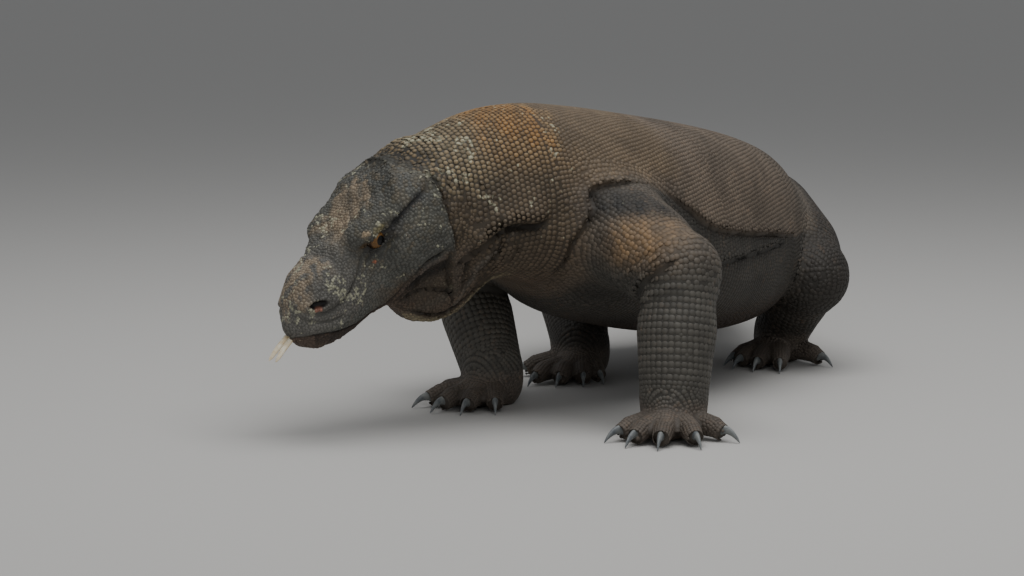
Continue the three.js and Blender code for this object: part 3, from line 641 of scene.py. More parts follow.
def colouring(p):
    """The hide's colour at each place as four columns, the last how many scales are pale, and
    beside it how strongly the gaps' painted shade and the crowns' painted highlight stand apart."""
    s, left = along_spine(p)
    q = in_head(p)
    u, v, w = q[:, 0], np.abs(q[:, 1]), q[:, 2]
    z, side = p[:, 2], np.abs(left)
    coarse, fine = ripple(p, 95), ripple(p, 30)
    colour = np.tile([*linear(92, 81, 69), 0.0], (len(p), 1))
    strength = np.full(len(p), 0.14)

    def paint(share, tint, pale, contrast):
        """Takes colour and contrast that share of the way to the ones given."""
        nonlocal colour, strength
        colour = colour + share[:, None] * (np.array([*linear(*tint), pale]) - colour)
        strength = strength + share * (contrast - strength)

    fold_at = between(SHOULDER_FOLD, s)[:, 0]
    near_head = on_skull(q)
    soft = 8 + 30 * ease((w - 14) / 30)
    on_head = ease((u - between(EAR_FOLD, w)[:, 0]) / soft + 0.5 + 0.4 * fine) * near_head
    on_head *= ease((w + 150) / 30)
    # The trunk, and the neck with its orange and its pale patch.
    neck = ease((-56 - s + 12 * fine) / 40)
    paint(ease((s - 350) / 300), (80, 74, 66), 0.0, 0.14)
    paint(ease((150 - s) / 60) * ease((z - 330) / 40), (98, 84, 66), 0.0, 0.18)
    paint(neck, (84, 73, 58), 0.03, 0.45)
    paint(neck * ease((z - 352) / 60), (115, 94, 66), 0.06, 0.85)
    patch = ease((s + 205 + 18 * fine) / 50) * ease((-84 - s + 10 * fine) / 24)
    patch *= ease((z - 392 + 12 * fine) / 36)
    paint(patch * (0.75 + 0.25 * fine), (136, 100, 56), 0.05, 0.9)
    nape = neck * ease((-150 - s) / 90) * ease((z - 320 + 16 * fine) / 60)
    paint(nape, (108, 98, 78), 0.22, 0.85)
    # Darker below the shoulder fold: partly the flank's own colour, partly painted shade under the
    # fold.
    flank = ease((fold_at - z) / 10) * ease((s + 60) / 30) * ease((640 - s) / 60)
    paint(flank, (59, 56, 51), 0.0, 0.15)
    # Darker underneath: partly the belly's own colour, partly painted shade.
    belly = ease((160 - z) / 60) * ease((s + 250) / 60) * ease((700 - s) / 100)
    paint(belly, (38, 26, 15), 0.0, 0.2)
    paint(ease((300 - z) / 70) * neck, (88, 76, 62), 0.01, 0.4)
    paint(ease((230 - z) / 40) * neck, (84, 72, 60), 0.0, 0.3)
    # The limbs, brown on the upper arm, and the slate patch above the shoulder.
    trunk = spine_distance(p, s, left)
    by_limb = np.min([limb_distance(name, p) for name in LIMBS], axis=0)
    on_limb = ease((trunk - by_limb + 10) / 34)
    paint(on_limb, (82, 75, 66), 0.0, 0.2)
    for name in ("arm_left", "arm_right"):
        root, knee, _ = np.array(LIMBS[name][1], float)
        off = np.linalg.norm(p - knee - 0.25 * (root - knee) - [0, -45, 20], axis=1)
        paint(np.exp(-((off / 62) ** 4)) * (0.75 + 0.3 * fine), (124, 100, 72), 0.01, 0.2)
    # The hind legs darker: partly their own colour, partly painted shade.
    paint(on_limb * (s > 250), (51, 47, 42), 0.0, 0.12)
    paint(on_limb * ease((262 - z) / 50) * (s < 200), (76, 73, 67), 0.0, 0.32)
    paint(on_limb * ease((60 - z) / 20), (84, 76, 68), 0.0, 0.14)
    slate = ease((z - 290) / 30) * ease((350 - z) / 20) * ease((s + 75) / 25) * ease((10 - s) / 20)
    paint(slate * ease((side - 80) / 40) * (0.8 + 0.2 * fine), (34, 33, 31), 0.02, 0.15)
    # The head: grey, with dusty brown along its top and its snout.
    mottle = ripple(q, 21)
    paint(on_head, (80, 80, 75), 0.03, 0.18)
    paint(on_head * ease((mottle - 0.1) / 0.5) * ease((w + 40) / 30) * 0.6, (92, 84, 68), 0.0, 0.18)
    paint(on_head * ease((u - 110) / 60) * ease((w + 70) / 20), (94, 92, 87), 0.2, 0.2)
    brown = on_head * ease((w - 14 - 0.1 * v + 8 * fine) / 14) * ease((40 - v + 9 * fine) / 18)
    brown *= ease((u - 34 + 10 * fine) / 16) * ease((150 - u + 14 * coarse) / 40)
    paint(brown * (0.75 + 0.3 * fine), (127, 113, 94), 0.1, 0.22)
    nose = on_head * ease((u - 165 + 0.12 * w + 5 * fine) / 14) * ease((w + 20 + 8 * fine) / 18)
    nose = nose * ease((44 - v + 8 * coarse) / 16) * ease((mottle + 0.7) / 0.8)
    paint(nose, (134, 121, 103), 0.14, 0.22)
    paint(on_head * ease((-52 - w + 7 * fine) / 22) * ease((150 - u) / 50), (76, 66, 54), 0.01, 0.2)
    # The throat: a pale rim and a pale rope of skin down it, and the strap behind the mouth.
    under = w - between(POUCH_FOLDS[1], u)[:, 0]
    rim = ease(-under / 4) * ease((under + 22) / 8) * ease((104 - u) / 14) * ease((u + 74) / 20)
    paint(rim * near_head * (v > 8), (122, 112, 90), 0.0, 0.2)
    rope = hump(u, between(ROPE, w)[:, 0], 7) * ease((-88 - w) / 8) * ease((w + 172) / 12)
    paint(rope * near_head * (v > 30) * 0.8, (98, 92, 84), 0.0, 0.2)
    below_lips = w - between(LIPS, u)[:, 0]
    ridge = hump(below_lips, -12, 5) * ease((u - 24) / 14) * ease((100 - u) / 14) * (v > 20)
    paint(on_head * ridge * 0.8, (92, 82, 74), 0.0, 0.2)
    # Painted shade in the hollow under the ridge below the lips.
    shade = hump(below_lips, -30, 13) * ease((u - 24) / 6) * ease((96 - u) / 16) * (v > 20)
    paint(on_head * shade * 0.8, (42, 36, 31), 0.0, 0.2)
    fore, rear = (between(course, w)[:, 0] for course in STRAP_EDGES)
    strap = ease((fore - u) / 4) * ease((u - rear) / 6)
    strap = strap * ease((-60 - w) / 20) * ease((w + 160) / 20)
    paint(strap * near_head * (v > 30) * 0.8, (86, 76, 66), 0.0, 0.2)
    paint(on_head * ease(-below_lips / 3) * ease((u - 60) / 60), (84, 70, 60), 0.02, 0.25)
    # Pale flecks on the brow, behind the eye and at the nape, and painted shade in the temple groove
    # and the eye's socket.
    paint(on_head * hump(u, 84, 34) * hump(w, 32, 15) * (v > 30) * 0.7, (92, 90, 80), 0.4, 0.22)
    paint(on_head * hump(u, 34, 26) * hump(w, 2, 24) * (v > 40) * 0.7, (86, 85, 76), 0.38, 0.22)
    paint(on_head * ease((10 - u) / 10) * ease((w + 40) / 20) * 0.6, (90, 88, 76), 0.4, 0.4)
    # Painted shade along the temple groove.
    groove_shade = hump(w, between(TEMPLE_GROOVE, u)[:, 0] - 2, 6)
    groove_shade = groove_shade * ease((84 - u) / 10) * ease((u - 4) / 20)
    paint(on_head * groove_shade * (v > 30) * 0.85, (36, 38, 42), 0.0, 0.2)
    # Painted shadow of the brow over the eye's socket.
    socket = np.exp(-(((u - 97) / 27) ** 4 + ((w - 12 + 0.2 * (u - 96)) / 12) ** 4)) * (v > 40)
    paint(on_head * socket * 0.8, (44, 42, 40), 0.02, 0.2)
    # Painted shade: each nostril's pit is black.
    paint(on_head * ease((1.25 - nostril(q)) / 0.3), (20, 17, 15), 0.0, 0.0)
    # Small coloured spots round the eye and in the nostril.
    for at_u, at_w, reach_u, reach_w, tint in (
            (112, 31, 5, 3.5, (172, 152, 124)), (92, 27, 9, 4, (118, 110, 78)),
            (119, 15, 6, 4, (84, 66, 40)), (115, -15, 2.2, 2.2, (180, 112, 82)),
            (223, -20, 5, 2.6, (150, 100, 82))):
        spot = hump(u, at_u, reach_u) * hump(w, at_w, reach_w) * (v > 30)
        paint(on_head * ease(1.6 * spot) * 0.85, tint, 0.0, 0.2)
    # Painted shade in the creases and hollows of the relief: the colour darkens there, and the pale
    # flecks fade.
    relief = trunk_relief(p, s, left) + head_relief(q) + bend_relief(p)
    crease_shade = ease(-relief / 5) * (u < 240)
    colour[:, :3] *= (1 - 0.6 * crease_shade)[:, None]
    colour[:, 3] *= 1 - crease_shade
    colour[:, :3] *= (1 + 0.10 * coarse + 0.07 * fine)[:, None]
    return colour, strength


hide = bpy.data.objects.new("hide", joined_flesh())
bpy.context.scene.collection.objects.link(hide)
move_points(hide.data, settle(points_of(hide.data), SCALE_DEPTH))
for level in (1, 2, 3):
    refine(hide.data, level)
    move_points(hide.data, settle(points_of(hide.data), SCALE_DEPTH, 3))
hide_points = points_of(hide.data)
hide_points[:, 2] = np.maximum(hide_points[:, 2], 0.3)
move_points(hide.data, hide_points)
hide.data.polygons.foreach_set("use_smooth", np.ones(len(hide.data.polygons), bool))


def set_attribute(mesh, name, values):
    """Stores values on a mesh's vertices: one number each, or four as a colour."""
    kind, field = ("FLOAT_COLOR", "color") if values.ndim > 1 else ("FLOAT", "value")
    layer = mesh.attributes.new(name, kind, "POINT")
    layer.data.foreach_set(field, values.astype(np.float32).ravel())


hide_colour, hide_strength = colouring(hide_points)
set_attribute(hide.data, "tint", hide_colour)
set_attribute(hide.data, "strength", hide_strength)
set_attribute(hide.data, "crown", np.zeros(len(hide_points)))
set_attribute(hide.data, "tone", np.full(len(hide_points), 0.5))


class Value:
    """A shader socket whose arithmetic adds Math nodes."""

    def __init__(self, tree, socket):
        self.tree, self.socket = tree, socket

    def maths(self, operation, *others):
        return self.tree.node("ShaderNodeMath", {"operation": operation}, {
            i: other for i, other in enumerate((self, *others))})

    def __add__(self, other):
        return self.maths("ADD", other)

    def __mul__(self, other):
        return self.maths("MULTIPLY", other)

    def __sub__(self, other):
        return self.maths("SUBTRACT", other)

    def __rsub__(self, other):
        return self.maths("MULTIPLY", -1.0) + other  # a number less a socket

    __radd__, __rmul__ = __add__, __mul__

    def ease(self, low, high):
        """From 0 at low to 1 at high, smoothly."""
        return self.tree.node("ShaderNodeMapRange", {"interpolation_type": "SMOOTHSTEP"}, {
            "Value": self, "From Min": low, "From Max": high})


class Finish:
    """A material whose nodes are added by type, settings and the values of their sockets."""

    def __init__(self, name, **constants):
        self.material = bpy.data.materials.new(name)
        self.material.use_nodes = True
        self.nodes, self.links = self.material.node_tree.nodes, self.material.node_tree.links
        self.shader = self.nodes["Principled BSDF"]
        for socket, value in constants.items():
            self.shader.inputs[socket.replace("_", " ")].default_value = value

    def node(self, kind, settings=(), sockets=(), output=0):
        """Adds a node, its settings first, and gives the value of one of its outputs."""
        made = self.nodes.new(kind)
        for name, value in dict(settings).items():
            setattr(made, name, value)
        self.feed(made, sockets)
        return Value(self, made.outputs[output])

    def feed(self, made, sockets):
        """Links each value to its socket, or sets the socket to a constant."""
        for name, value in dict(sockets).items():
            if isinstance(value, Value):
                self.links.new(value.socket, made.inputs[name])
            else:
                made.inputs[name].default_value = value

    def attribute(self, name, output="Fac"):
        """What is stored on the mesh under that name."""
        return self.node("ShaderNodeAttribute", {"attribute_name": name}, output=output)

    def noise(self, scale, detail=2.0, roughness=0.5):
        """Noise in object space: scale is its cells to the metre."""
        where = self.node("ShaderNodeTexCoord", output="Object")
        return self.node("ShaderNodeTexNoise", {}, {
            "Vector": where, "Scale": scale, "Detail": detail, "Roughness": roughness})

    def mix(self, share, a, b, how="MIX"):
        """Colour a going to colour b by the share: sockets 6 and 7, and output 2."""
        return self.node("ShaderNodeMix", {"data_type": "RGBA", "blend_type": how}, {
            0: share, 6: a, 7: b}, output=2)

    def grey(self, value):
        """The same number in all three channels."""
        return self.node("ShaderNodeCombineColor", {}, {0: value, 1: value, 2: value})


skin = Finish("scaled hide", Specular_IOR_Level=0.4)
crown, tone, strength = (skin.attribute(name) for name in ("crown", "tone", "strength"))
blotch, fleck, grain = skin.noise(14, 3, 0.6), skin.noise(120, 3, 0.6), skin.noise(900, 2, 0.7)
worn = blotch.ease(0.36, 0.66)
body_tint = skin.attribute("tint", "Color")
level = (0.88 + 0.3 * worn) * (1 + (tone - 0.5) * (0.1 + 0.5 * strength)) * (0.8 + 0.44 * fleck)
top_tint = skin.mix(1.0, body_tint, skin.grey(level), "MULTIPLY")
dusty = skin.mix(fleck.ease(0.5, 0.75) * 0.28 * worn, top_tint, (*linear(118, 90, 64), 1))
# Painted shade: the hide between the scales, and each scale's foot, are darkened the more the
# stronger the contrast.
deep = skin.mix(1.0, body_tint, skin.grey(0.8 - 0.68 * strength), "MULTIPLY")
scaled = skin.mix(crown.ease(0.0, 0.6), deep, dusty)
# A painted highlight on the crowns where the contrast is strong.
lit = crown.ease(0.5, 1.0) * (strength - 0.35).ease(0.0, 0.6) * (0.1 + 0.5 * tone)
bright = skin.mix(lit, scaled, (*linear(150, 124, 86), 1))
pale_share = skin.attribute("tint", "Alpha")
chips, clusters = skin.noise(120, 2, 0.55), skin.noise(30, 1, 0.5)
pale = (0.6 * chips + 0.5 * clusters + 0.08 * tone + 0.42 * pale_share).ease(0.74, 0.79)
speck = pale * pale_share.ease(0.0, 0.03) * (0.35 + 0.5 * crown)
speckled = skin.mix(speck, bright, (*linear(170, 168, 144), 1))
skin.feed(skin.shader, {
    "Base Color": speckled, "Roughness": 0.5 + 0.3 * fleck,
    "Normal": skin.node("ShaderNodeBump", {}, {
        "Height": grain, "Strength": 0.35, "Distance": 0.0004})})
hide.data.materials.append(skin.material)
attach(hide, "root")
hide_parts(*FLESH)


# ------------------------------------------------------------------ the scales
# Small horny plates, some forty-six thousand, set in rings round the body and in slanting rows
# along it: round raised beads on the neck, squarer ones on the forearms, fine ones on the
# face and toes. Each is a closed dome whose foot is sunk in the hide.

LEAN = np.radians(15)  # by what angle the rows along the body drop as they go forward
COAT = []  # courses of scale roots, the ones laid first kept where two crowd each other
PATCH = 0.0015  # half the breadth of the patch a scale is baked on
# As shares of the step between scales: one nearer than CROWDED to an earlier one is left out,
# a spot further than SPARSE from any of them is bare, and those that fill it are FILLING apart.
CROWDED, SPARSE, FILLING = 0.68, 0.84, 0.8


def scale_pitch(p):
    """How far apart the scales are set: a little over 7 mm, finer on face, feet and tail end."""
    s, left = along_spine(p)
    u, v, w = in_head(p).T
    pitch = 7.6 - 1.3 * np.maximum(ease((s + 125) / 60), 0.6 * ease((345 - p[:, 2]) / 50))
    pitch = pitch + 2.2 * ease((s - 680) / 200) - 4.0 * ease((s - 1400) / 600)
    pitch = pitch + 2.4 * ease((190 - p[:, 2]) / 100) * ease((s - 60) / 60) * ease((700 - s) / 100)
    limb = np.min([limb_distance(name, p) for name in LIMBS], axis=0)
    on_limb = limb < spine_distance(p, s, left) + 4
    down_limb = 7.4 + 2.0 * ease((220 - p[:, 2]) / 70) * ease((p[:, 2] - 60) / 60)
    pitch = np.where(on_limb, down_limb, pitch)
    for _, joints, _, _, _ in LIMBS.values():
        far = np.hypot(*(p[:, :2] - joints[2][:2]).T)
        pitch = np.where(far < 200, np.minimum(pitch, 5.0 + 2.4 * ease((p[:, 2] - 42) / 50)), pitch)
    on_head = ease((u + 18) / 34) * (np.hypot(v, w + 30) < 150) * (u < 275)
    face = 5.2 - 1.0 * ease((u - 20) / 120)
    return pitch * (1 - on_head) + face * on_head


def spokes(centres, across, up, start, limit, count=96):
    """Where spokes in each ring's plane leave the hide: each is lengthened by its distance
    inside until it comes out, and lost if that is past the limit."""
    turn = np.linspace(0, 2 * np.pi, count + 1)
    ways = across[:, None] * np.sin(turn)[None, :, None] + up[:, None] * np.cos(turn)[None, :, None]
    reach = np.repeat(np.asarray(start, float)[:, None], count + 1, 1)
    most = np.asarray(limit, float)[:, None]
    for _ in range(9):
        places = centres[:, None] + ways * reach[..., None]
        gone = surface(places.reshape(-1, 3)).reshape(reach.shape) + SCALE_DEPTH
        reach = np.clip(reach - gone, 1, most + 1)
    return centres[:, None] + ways * reach[..., None], reach < most


def set_rings(piece, cell, places, held, axis, pitch, lean=None, ragged=0.0, seed=1):
    """Sets scales along rings at even steps, every other ring half a step on; or, given a
    lean, at steps counted down each side from the top, each ring on from the last by the
    lean. The cell is the rings' part of the piece's unwrapped square."""
    random = np.random.default_rng(seed)
    count = len(places)
    found, lies, charts = [], [], []
    run = np.linalg.norm(np.diff(places, axis=1), axis=2)
    uneven = np.broadcast_to(ragged, count)
    for k in range(count):
        length = np.concatenate([[0], np.cumsum(run[k])])
        total, half = length[-1], length[len(length) // 2]
        if lean is None:
            steps = max(int(round(total / pitch[k])), 3)
            c = np.arange(steps) * total / steps
            down = np.ones(steps)
        else:
            first = (0.5 * pitch[k] - k * lean) % pitch[k]
            left = np.arange(first, half, pitch[k])
            left = left + 0.16 * pitch[k] * np.sin(k * 0.31 + left * 0.045)
            right = np.arange(first, total - half, pitch[k])
            c = np.concatenate([left, total - right])
            down = np.concatenate([np.ones(len(left)), -np.ones(len(right))])
        c = np.clip(c + random.normal(0, uneven[k], len(c)), 0, total)
        place, further = (
            np.stack([np.interp(at, length, places[k, :, i]) for i in range(3)], 1)
            for at in (c, (c + 2) % total))
        round_way = unit((further - place) * down[:, None])
        kept = np.interp(c, length, held[k].astype(float)) > 0.99
        back = axis[k] * np.ones((len(c), 1))
        place = place + back * random.normal(0, 0.6 * uneven[k], (len(c), 1))
        lie = back if lean is None else back - np.tan(LEAN) * round_way
        chart = np.stack([np.full(len(c), (k + 0.5) / count), c / total], 1)
        found.append(place[kept])
        lies.append(lie[kept])
        charts.append(chart[kept])
    low, high = np.array(cell[:2]), np.array(cell[2:])
    charts = low + np.concatenate(charts) * (high - low)
    COAT.append((piece, np.concatenate(found), np.concatenate(lies), charts))


# Toes first: rings round each digit, from the knuckle to the claw.
for limb in LIMBS:
    for n in range(5):
        path = np.array(digit_path(limb, n))
        steps = np.linspace(0.55, 2.98, 3 * int(DIGITS[limb[:3]][1][n] // 14))
        i = np.minimum(steps.astype(int), 2)
        centres = path[i] + (path[i + 1] - path[i]) * (steps - i)[:, None]
        axis = unit(path[i + 1] - path[i])
        across = unit(np.cross(axis, [0, 0, 1.0]))
        up = np.cross(across, axis)
        radius = np.interp(steps, np.arange(4), DIGIT_RADII)
        places, held = spokes(centres, across, up, radius * 0.5, radius * 1.25, 40)
        cell = (0.72, 0.01 + n * 0.2, 0.99, 0.19 + n * 0.2)
        set_rings(f"{limb}_scales", cell, places, held, axis,
                  np.full(len(steps), 5.2), ragged=0.3, seed=n)

# Then rings down each limb and over its palm, their planes turning evenly round its bends.
for limb, (_, joints, radii, _, _) in LIMBS.items():
    joints = np.array(joints, float)
    knuckles = ahead(limb, 0, DIGITS[limb[:3]][2] + 46, 20)
    corners = np.array([*joints[:2], joints[2] - [0, 0, 22], knuckles])
    length = np.concatenate([[0], np.cumsum(np.linalg.norm(np.diff(corners, axis=0), axis=1))])
    even = np.arange(0, length[-1], 1.0)
    line = np.stack([np.interp(even, length, corners[:, i]) for i in range(3)], 1)
    soft = np.hanning(75)
    padded = np.pad(line, ((37, 37), (0, 0)), mode="edge")
    line = np.stack([np.convolve(padded[:, i], soft / soft.sum(), "valid") for i in range(3)], 1)
    axis = unit(np.gradient(line, axis=0))
    spacing = np.interp(even, [0, length[1], length[1] + 40, length[2] - 50, length[2], length[3]],
                        [7.2, 7.2, 9.2, 9.2, 5.8, 4.8])
    at = np.searchsorted(np.cumsum(1 / spacing), np.arange(1, (1 / spacing).sum()))
    centres, axis, spacing = line[at], axis[at], spacing[at]
    up = unit(np.cross(axis, np.cross([0.0, -1.0, 0.3], axis)))
    reach = np.interp(even[at], length, [radii[0], radii[2], radii[4], 30])
    places, held = spokes(centres, np.cross(axis, up), up, reach * 0.3, reach * 1.5 + 12)
    ragged = np.interp(even[at], [0, length[1] - 20, length[1] + 30], [1.1, 0.9, 0.3])
    set_rings(f"{limb}_scales", (0.01, 0.01, 0.7, 0.99), places, held, axis, spacing,
              ragged=ragged, seed=11)

# The head's rings stand across its length, and its scales are set unevenly.
u = np.arange(-30, 236, 4.2)
centres = from_head(np.stack([u, 0 * u, np.interp(u, [-30, 235], [-18, -38])], 1))
forward, leftward, upward = (np.broadcast_to(axis, (len(u), 3)) for axis in HEAD_AXES)
places, held = spokes(centres, leftward, upward, np.full(len(u), 8), np.full(len(u), 200), 128)
set_rings("head_scales", (0.01, 0.01, 0.99, 0.99), places, held, -forward,
          np.interp(u, [0, 140], [5.0, 4.2]), ragged=1.3, seed=5)

# Along the spine the rings stand across it, from behind the ears to the tail's end.
for piece, begin, end, spacing in (
        ("neck_scales", -315, -95, 7.2), ("shoulder_scales", -95, 200, 6.2),
        ("flank_scales", 200, 440, 6.4), ("hip_scales", 440, 720, 6.6),
        ("tail_scales", 720, 2012, 0)):
    if spacing:
        s = np.arange(begin, end, spacing)
    else:
        along = np.arange(begin, end, 1.0)
        steps = np.interp(along, [720, 1200, 1500, 2012], [7.4, 8.4, 7.6, 4.2])
        s = along[np.searchsorted(np.cumsum(1 / steps), np.arange(0.5, (1 / steps).sum()))]
    x, y, heading = spine_place(s, 0 * s)
    section = between(SPINE, s)
    centres = np.stack([x, y, section[:, 1]], 1)
    back = np.stack([np.sin(heading), np.cos(heading), 0 * s], 1)
    across = np.stack([np.cos(heading), -np.sin(heading), 0 * s], 1)
    most = np.maximum(section[:, 0], section[:, 2] - section[:, 1]) * 1.3 + 30
    places, held = spokes(
        centres, across, np.broadcast_to([0, 0, 1.0], across.shape), section[:, 0] * 0.4, most, 160)
    set_rings(piece, (0.01, 0.01, 0.99, 0.99), places, held, back, scale_pitch(places[:, 0]),
              lean=(spacing or 7.4) * np.tan(LEAN), ragged=0.35, seed=7)


def tree_of(points):
    """The points sorted in space, so that neighbours are found quickly."""
    tree = KDTree(len(points))
    for i, place in enumerate(points):
        tree.insert(place, i)
    tree.balance()
    return tree


def near(points, towards):
    """For each point, which of the others lies nearest, and how far away."""
    tree = tree_of(towards)
    found = [tree.find(place)[1:] for place in points]
    return np.array([i for i, _ in found]), np.array([d for _, d in found])


def thin(points, gap):
    """Which points stay when, in order, each removes the later ones nearer than its gap."""
    tree = tree_of(points)
    stays = np.ones(len(points), bool)
    for i, place in enumerate(points):
        if stays[i]:
            for _, other, _ in tree.find_range(place, gap[i]):
                if other > i:
                    stays[other] = False
    return stays


def filtered(mask, *arrays):
    """The rows of each array that the mask keeps."""
    return [array[mask] for array in arrays]


set_at, lies, charts = (np.concatenate([course[i] for course in COAT]) for i in (1, 2, 3))
names = sorted({course[0] for course in COAT})
piece_of = np.concatenate([np.full(len(course[1]), names.index(course[0])) for course in COAT])
roots = settle(set_at, SCALE_DEPTH, 3)


def bare(p, way):
    """Where no scale grows: in the eye's slit, the nostrils and the line of the lips, and
    underneath where the animal rests on the ground."""
    q = in_head(p)
    slit = eye_slit(q) > 0.02
    pit = nostril(q) < 1.3
    lips = np.abs(q[:, 2] - between(LIPS, q[:, 0])[:, 0] + 0.8) < 1.6
    lips &= (q[:, 0] > 12) & (q[:, 0] < 262) & (np.hypot(q[:, 1], q[:, 2] + 30) < 140)
    resting = (p[:, 2] < 2.6) & (way[:, 2] < -0.3)
    return slit | pit | lips | resting


def fit(p):
    """Whether a scale may grow there: on the hide, and nowhere bare."""
    return ~bare(p, slope(p)) & (np.abs(surface(p) + SCALE_DEPTH) < 0.6)


gap = scale_pitch(roots)
kept = (np.linalg.norm(roots - set_at, axis=1) < 3) & fit(roots)
roots, lies, charts, piece_of, gap = filtered(kept, roots, lies, charts, piece_of, gap)
kept = thin(roots, gap * CROWDED)
roots, lies, charts, piece_of, gap = filtered(kept, roots, lies, charts, piece_of, gap)
# Bare spots between the courses, as behind a knee, are filled with scales that lie as their
# nearest neighbour does.
for seed in range(3):
    random = np.random.default_rng(seed)
    edges = np.empty(len(hide.data.edges) * 2, np.int32)
    hide.data.edges.foreach_get("vertices", edges)
    spots = np.concatenate([hide_points, hide_points[edges.reshape(-1, 2)].mean(1)])
    spots = spots[random.permutation(len(spots))]
    spot_gap = scale_pitch(spots)
    nearest, distance = near(spots, roots)
    spots, spot_gap, nearest = filtered(distance > spot_gap * SPARSE, spots, spot_gap, nearest)
    spots = settle(spots, SCALE_DEPTH, 2)
    spots, spot_gap, nearest = filtered(fit(spots), spots, spot_gap, nearest)
    spots, spot_gap, nearest = filtered(thin(spots, spot_gap * FILLING), spots, spot_gap, nearest)
    roots = np.concatenate([roots, spots])
    lies = np.concatenate([lies, lies[nearest]])
    charts = np.concatenate([charts, charts[nearest] + 0.003])
    piece_of = np.concatenate([piece_of, piece_of[nearest]])
    gap = np.concatenate([gap, spot_gap])

# A scale is as broad as its neighbours let it be.
tree = tree_of(roots)
beside = [tree.find_n(place, 5)[1:] for place in roots]
room = np.array([np.mean([d for _, _, d in others]) for others in beside])
out = slope(roots)
# Where the hide bends sharply they are small and flat.
turned = np.array([[other for _, other, _ in others] for others in beside])
calm = 0.5 + 0.5 * ease(((out[turned] * out[:, None]).sum(2).min(1) - 0.5) / 0.38)
lies = unit(lies - (lies * out).sum(1)[:, None] * out)
asides = np.cross(out, lies)


def domes(sides, breadth, length, height, square, flat):
    """Closed domes, one per root: a foot of points on the superellipse |x/length|^n +
    |y/breadth|^n = 1 sunk below the root, a shoulder ring at a share of the height, and a
    crown a little behind the middle. Returns offsets along, aside and out, scale by scale."""
    turn = (np.arange(sides) + 0.5) * 2 * np.pi / sides
    ring = (np.abs(np.cos(turn)) ** square + np.abs(np.sin(turn)) ** square) ** (-1 / square)
    x, y = ring * np.cos(turn) * length[:, None], ring * np.sin(turn) * breadth[:, None]
    one = np.ones_like(x)
    foot = np.stack([x, y, -1.1 * one], 2)
    shoulder = np.stack([x * 0.8, y * 0.8, one * (flat * height)[:, None]], 2)
    crown = np.stack([0.1 * length, 0 * length, height], 1)[:, None]
    return np.concatenate([foot, shoulder, crown], 1)


# What each region's scales are like: breadth and length as shares of the step between them,
# height in millimetres, squareness, how flat the top is, and how many sides the foot has.
BODY_KIND = (0.57, 0.62, 0.6, 2.4, 0.7, 6)
LIMB_KIND = (0.6, 0.58, 0.5, 4.2, 0.75, 8)
KINDS = {
    "head": (0.58, 0.58, 0.5, 2.8, 0.7, 8),
    "neck": (0.51, 0.54, 0.6, 2.4, 0.65, 8),
    "tail": (0.55, 0.60, 0.9, 3.2, 0.7, 6),
    "arm": LIMB_KIND, "leg": LIMB_KIND,
}
for index, name in enumerate(names):
    mine = piece_of == index
    region = name.split("_")[0]
    wide, long, high, square, flat, sides = KINDS.get(region, BODY_KIND)
    random = np.random.default_rng(index)
    count = int(mine.sum())
    size = np.clip(room[mine], 0.72 * gap[mine], 1.2 * gap[mine]) * (0.5 + 0.5 * calm[mine])
    vary = random.uniform(0.93, 1.07, (3, count))
    # The neck's beads stand highest along its top.
    raised = ease((-90 - along_spine(roots[mine])[0]) / 40) * ease((roots[mine][:, 2] - 330) / 60)
    raised = raised * (region == "neck")
    height = (high + 0.7 * raised) * vary[2] * np.clip(size / 7, 0.55, 1.2) * calm[mine]
    shape = domes(sides, wide * size * vary[0], long * size * vary[1], height, square, flat)
    points = (roots[mine][:, None] + shape[..., :1] * lies[mine][:, None]
              + shape[..., 1:2] * asides[mine][:, None] + shape[..., 2:] * out[mine][:, None])
    points[..., 2] = np.maximum(points[..., 2], 0.15)
    each = 2 * sides + 1
    j = np.arange(sides)
    k = (j + 1) % sides
    walls = np.stack([j, k, sides + k, sides + j], 1)
    tops = np.stack([sides + j, sides + k, np.full(sides, 2 * sides)], 1)
    loops = np.concatenate([walls.ravel(), tops.ravel(), j[::-1]])
    totals = np.concatenate([np.full(sides, 4), np.full(sides, 3), [sides]])
    piece = mesh_object(name, points.reshape(-1, 3),
                        (np.arange(count)[:, None] * each + loops).ravel(), np.tile(totals, count))
    tint, contrast = colouring(roots[mine])
    up = np.concatenate([np.zeros(sides), np.full(sides, 0.6), [1.0]])
    set_attribute(piece.data, "tint", np.repeat(tint, each, 0))
    set_attribute(piece.data, "strength", np.repeat(contrast, each))
    set_attribute(piece.data, "tone", np.repeat(random.random(count), each))
    set_attribute(piece.data, "crown", np.tile(up, count))
    # Each scale gets a patch for baking at its root's place on the rings' unwrapped square.
    around = (j + 0.5) * 2 * np.pi / sides
    ring = np.stack([np.cos(around), np.sin(around)], 1) * PATCH
    patch = np.concatenate([ring, ring * 0.7, [[0, 0]]])
    square_place = (charts[mine][:, None] + patch).reshape(-1, 2)
    layer = piece.data.uv_layers.new(name="OFBake")
    at = np.empty(len(piece.data.loops), np.int32)
    piece.data.loops.foreach_get("vertex_index", at)
    layer.data.foreach_set("uv", square_place[at].astype(np.float32).ravel())
    piece.data.materials.append(skin.material)
    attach(piece, "root")


# ------------------------------------------------------------------ the eyes
# Round balls deep between the lids, with a clear bulging front: a black round pupil in a
# brown-gold ring, looking outwards and a little down.


def wrapped(rows, columns):
    """Corner lists for a grid closed round its columns: quads between rows, and the first and
    last rows each closed by one face."""
    i, j = np.meshgrid(np.arange(rows - 1), np.arange(columns), indexing="ij")
    a, b = i * columns + j, i * columns + (j + 1) % columns
    quads = np.stack([a, b, b + columns, a + columns], -1).reshape(-1, 4)
    first = np.arange(columns)[::-1]
    last = (rows - 1) * columns + np.arange(columns)
    loops = np.concatenate([quads.ravel(), first, last])
    return loops, np.concatenate([np.full(len(quads), 4), [columns, columns]])


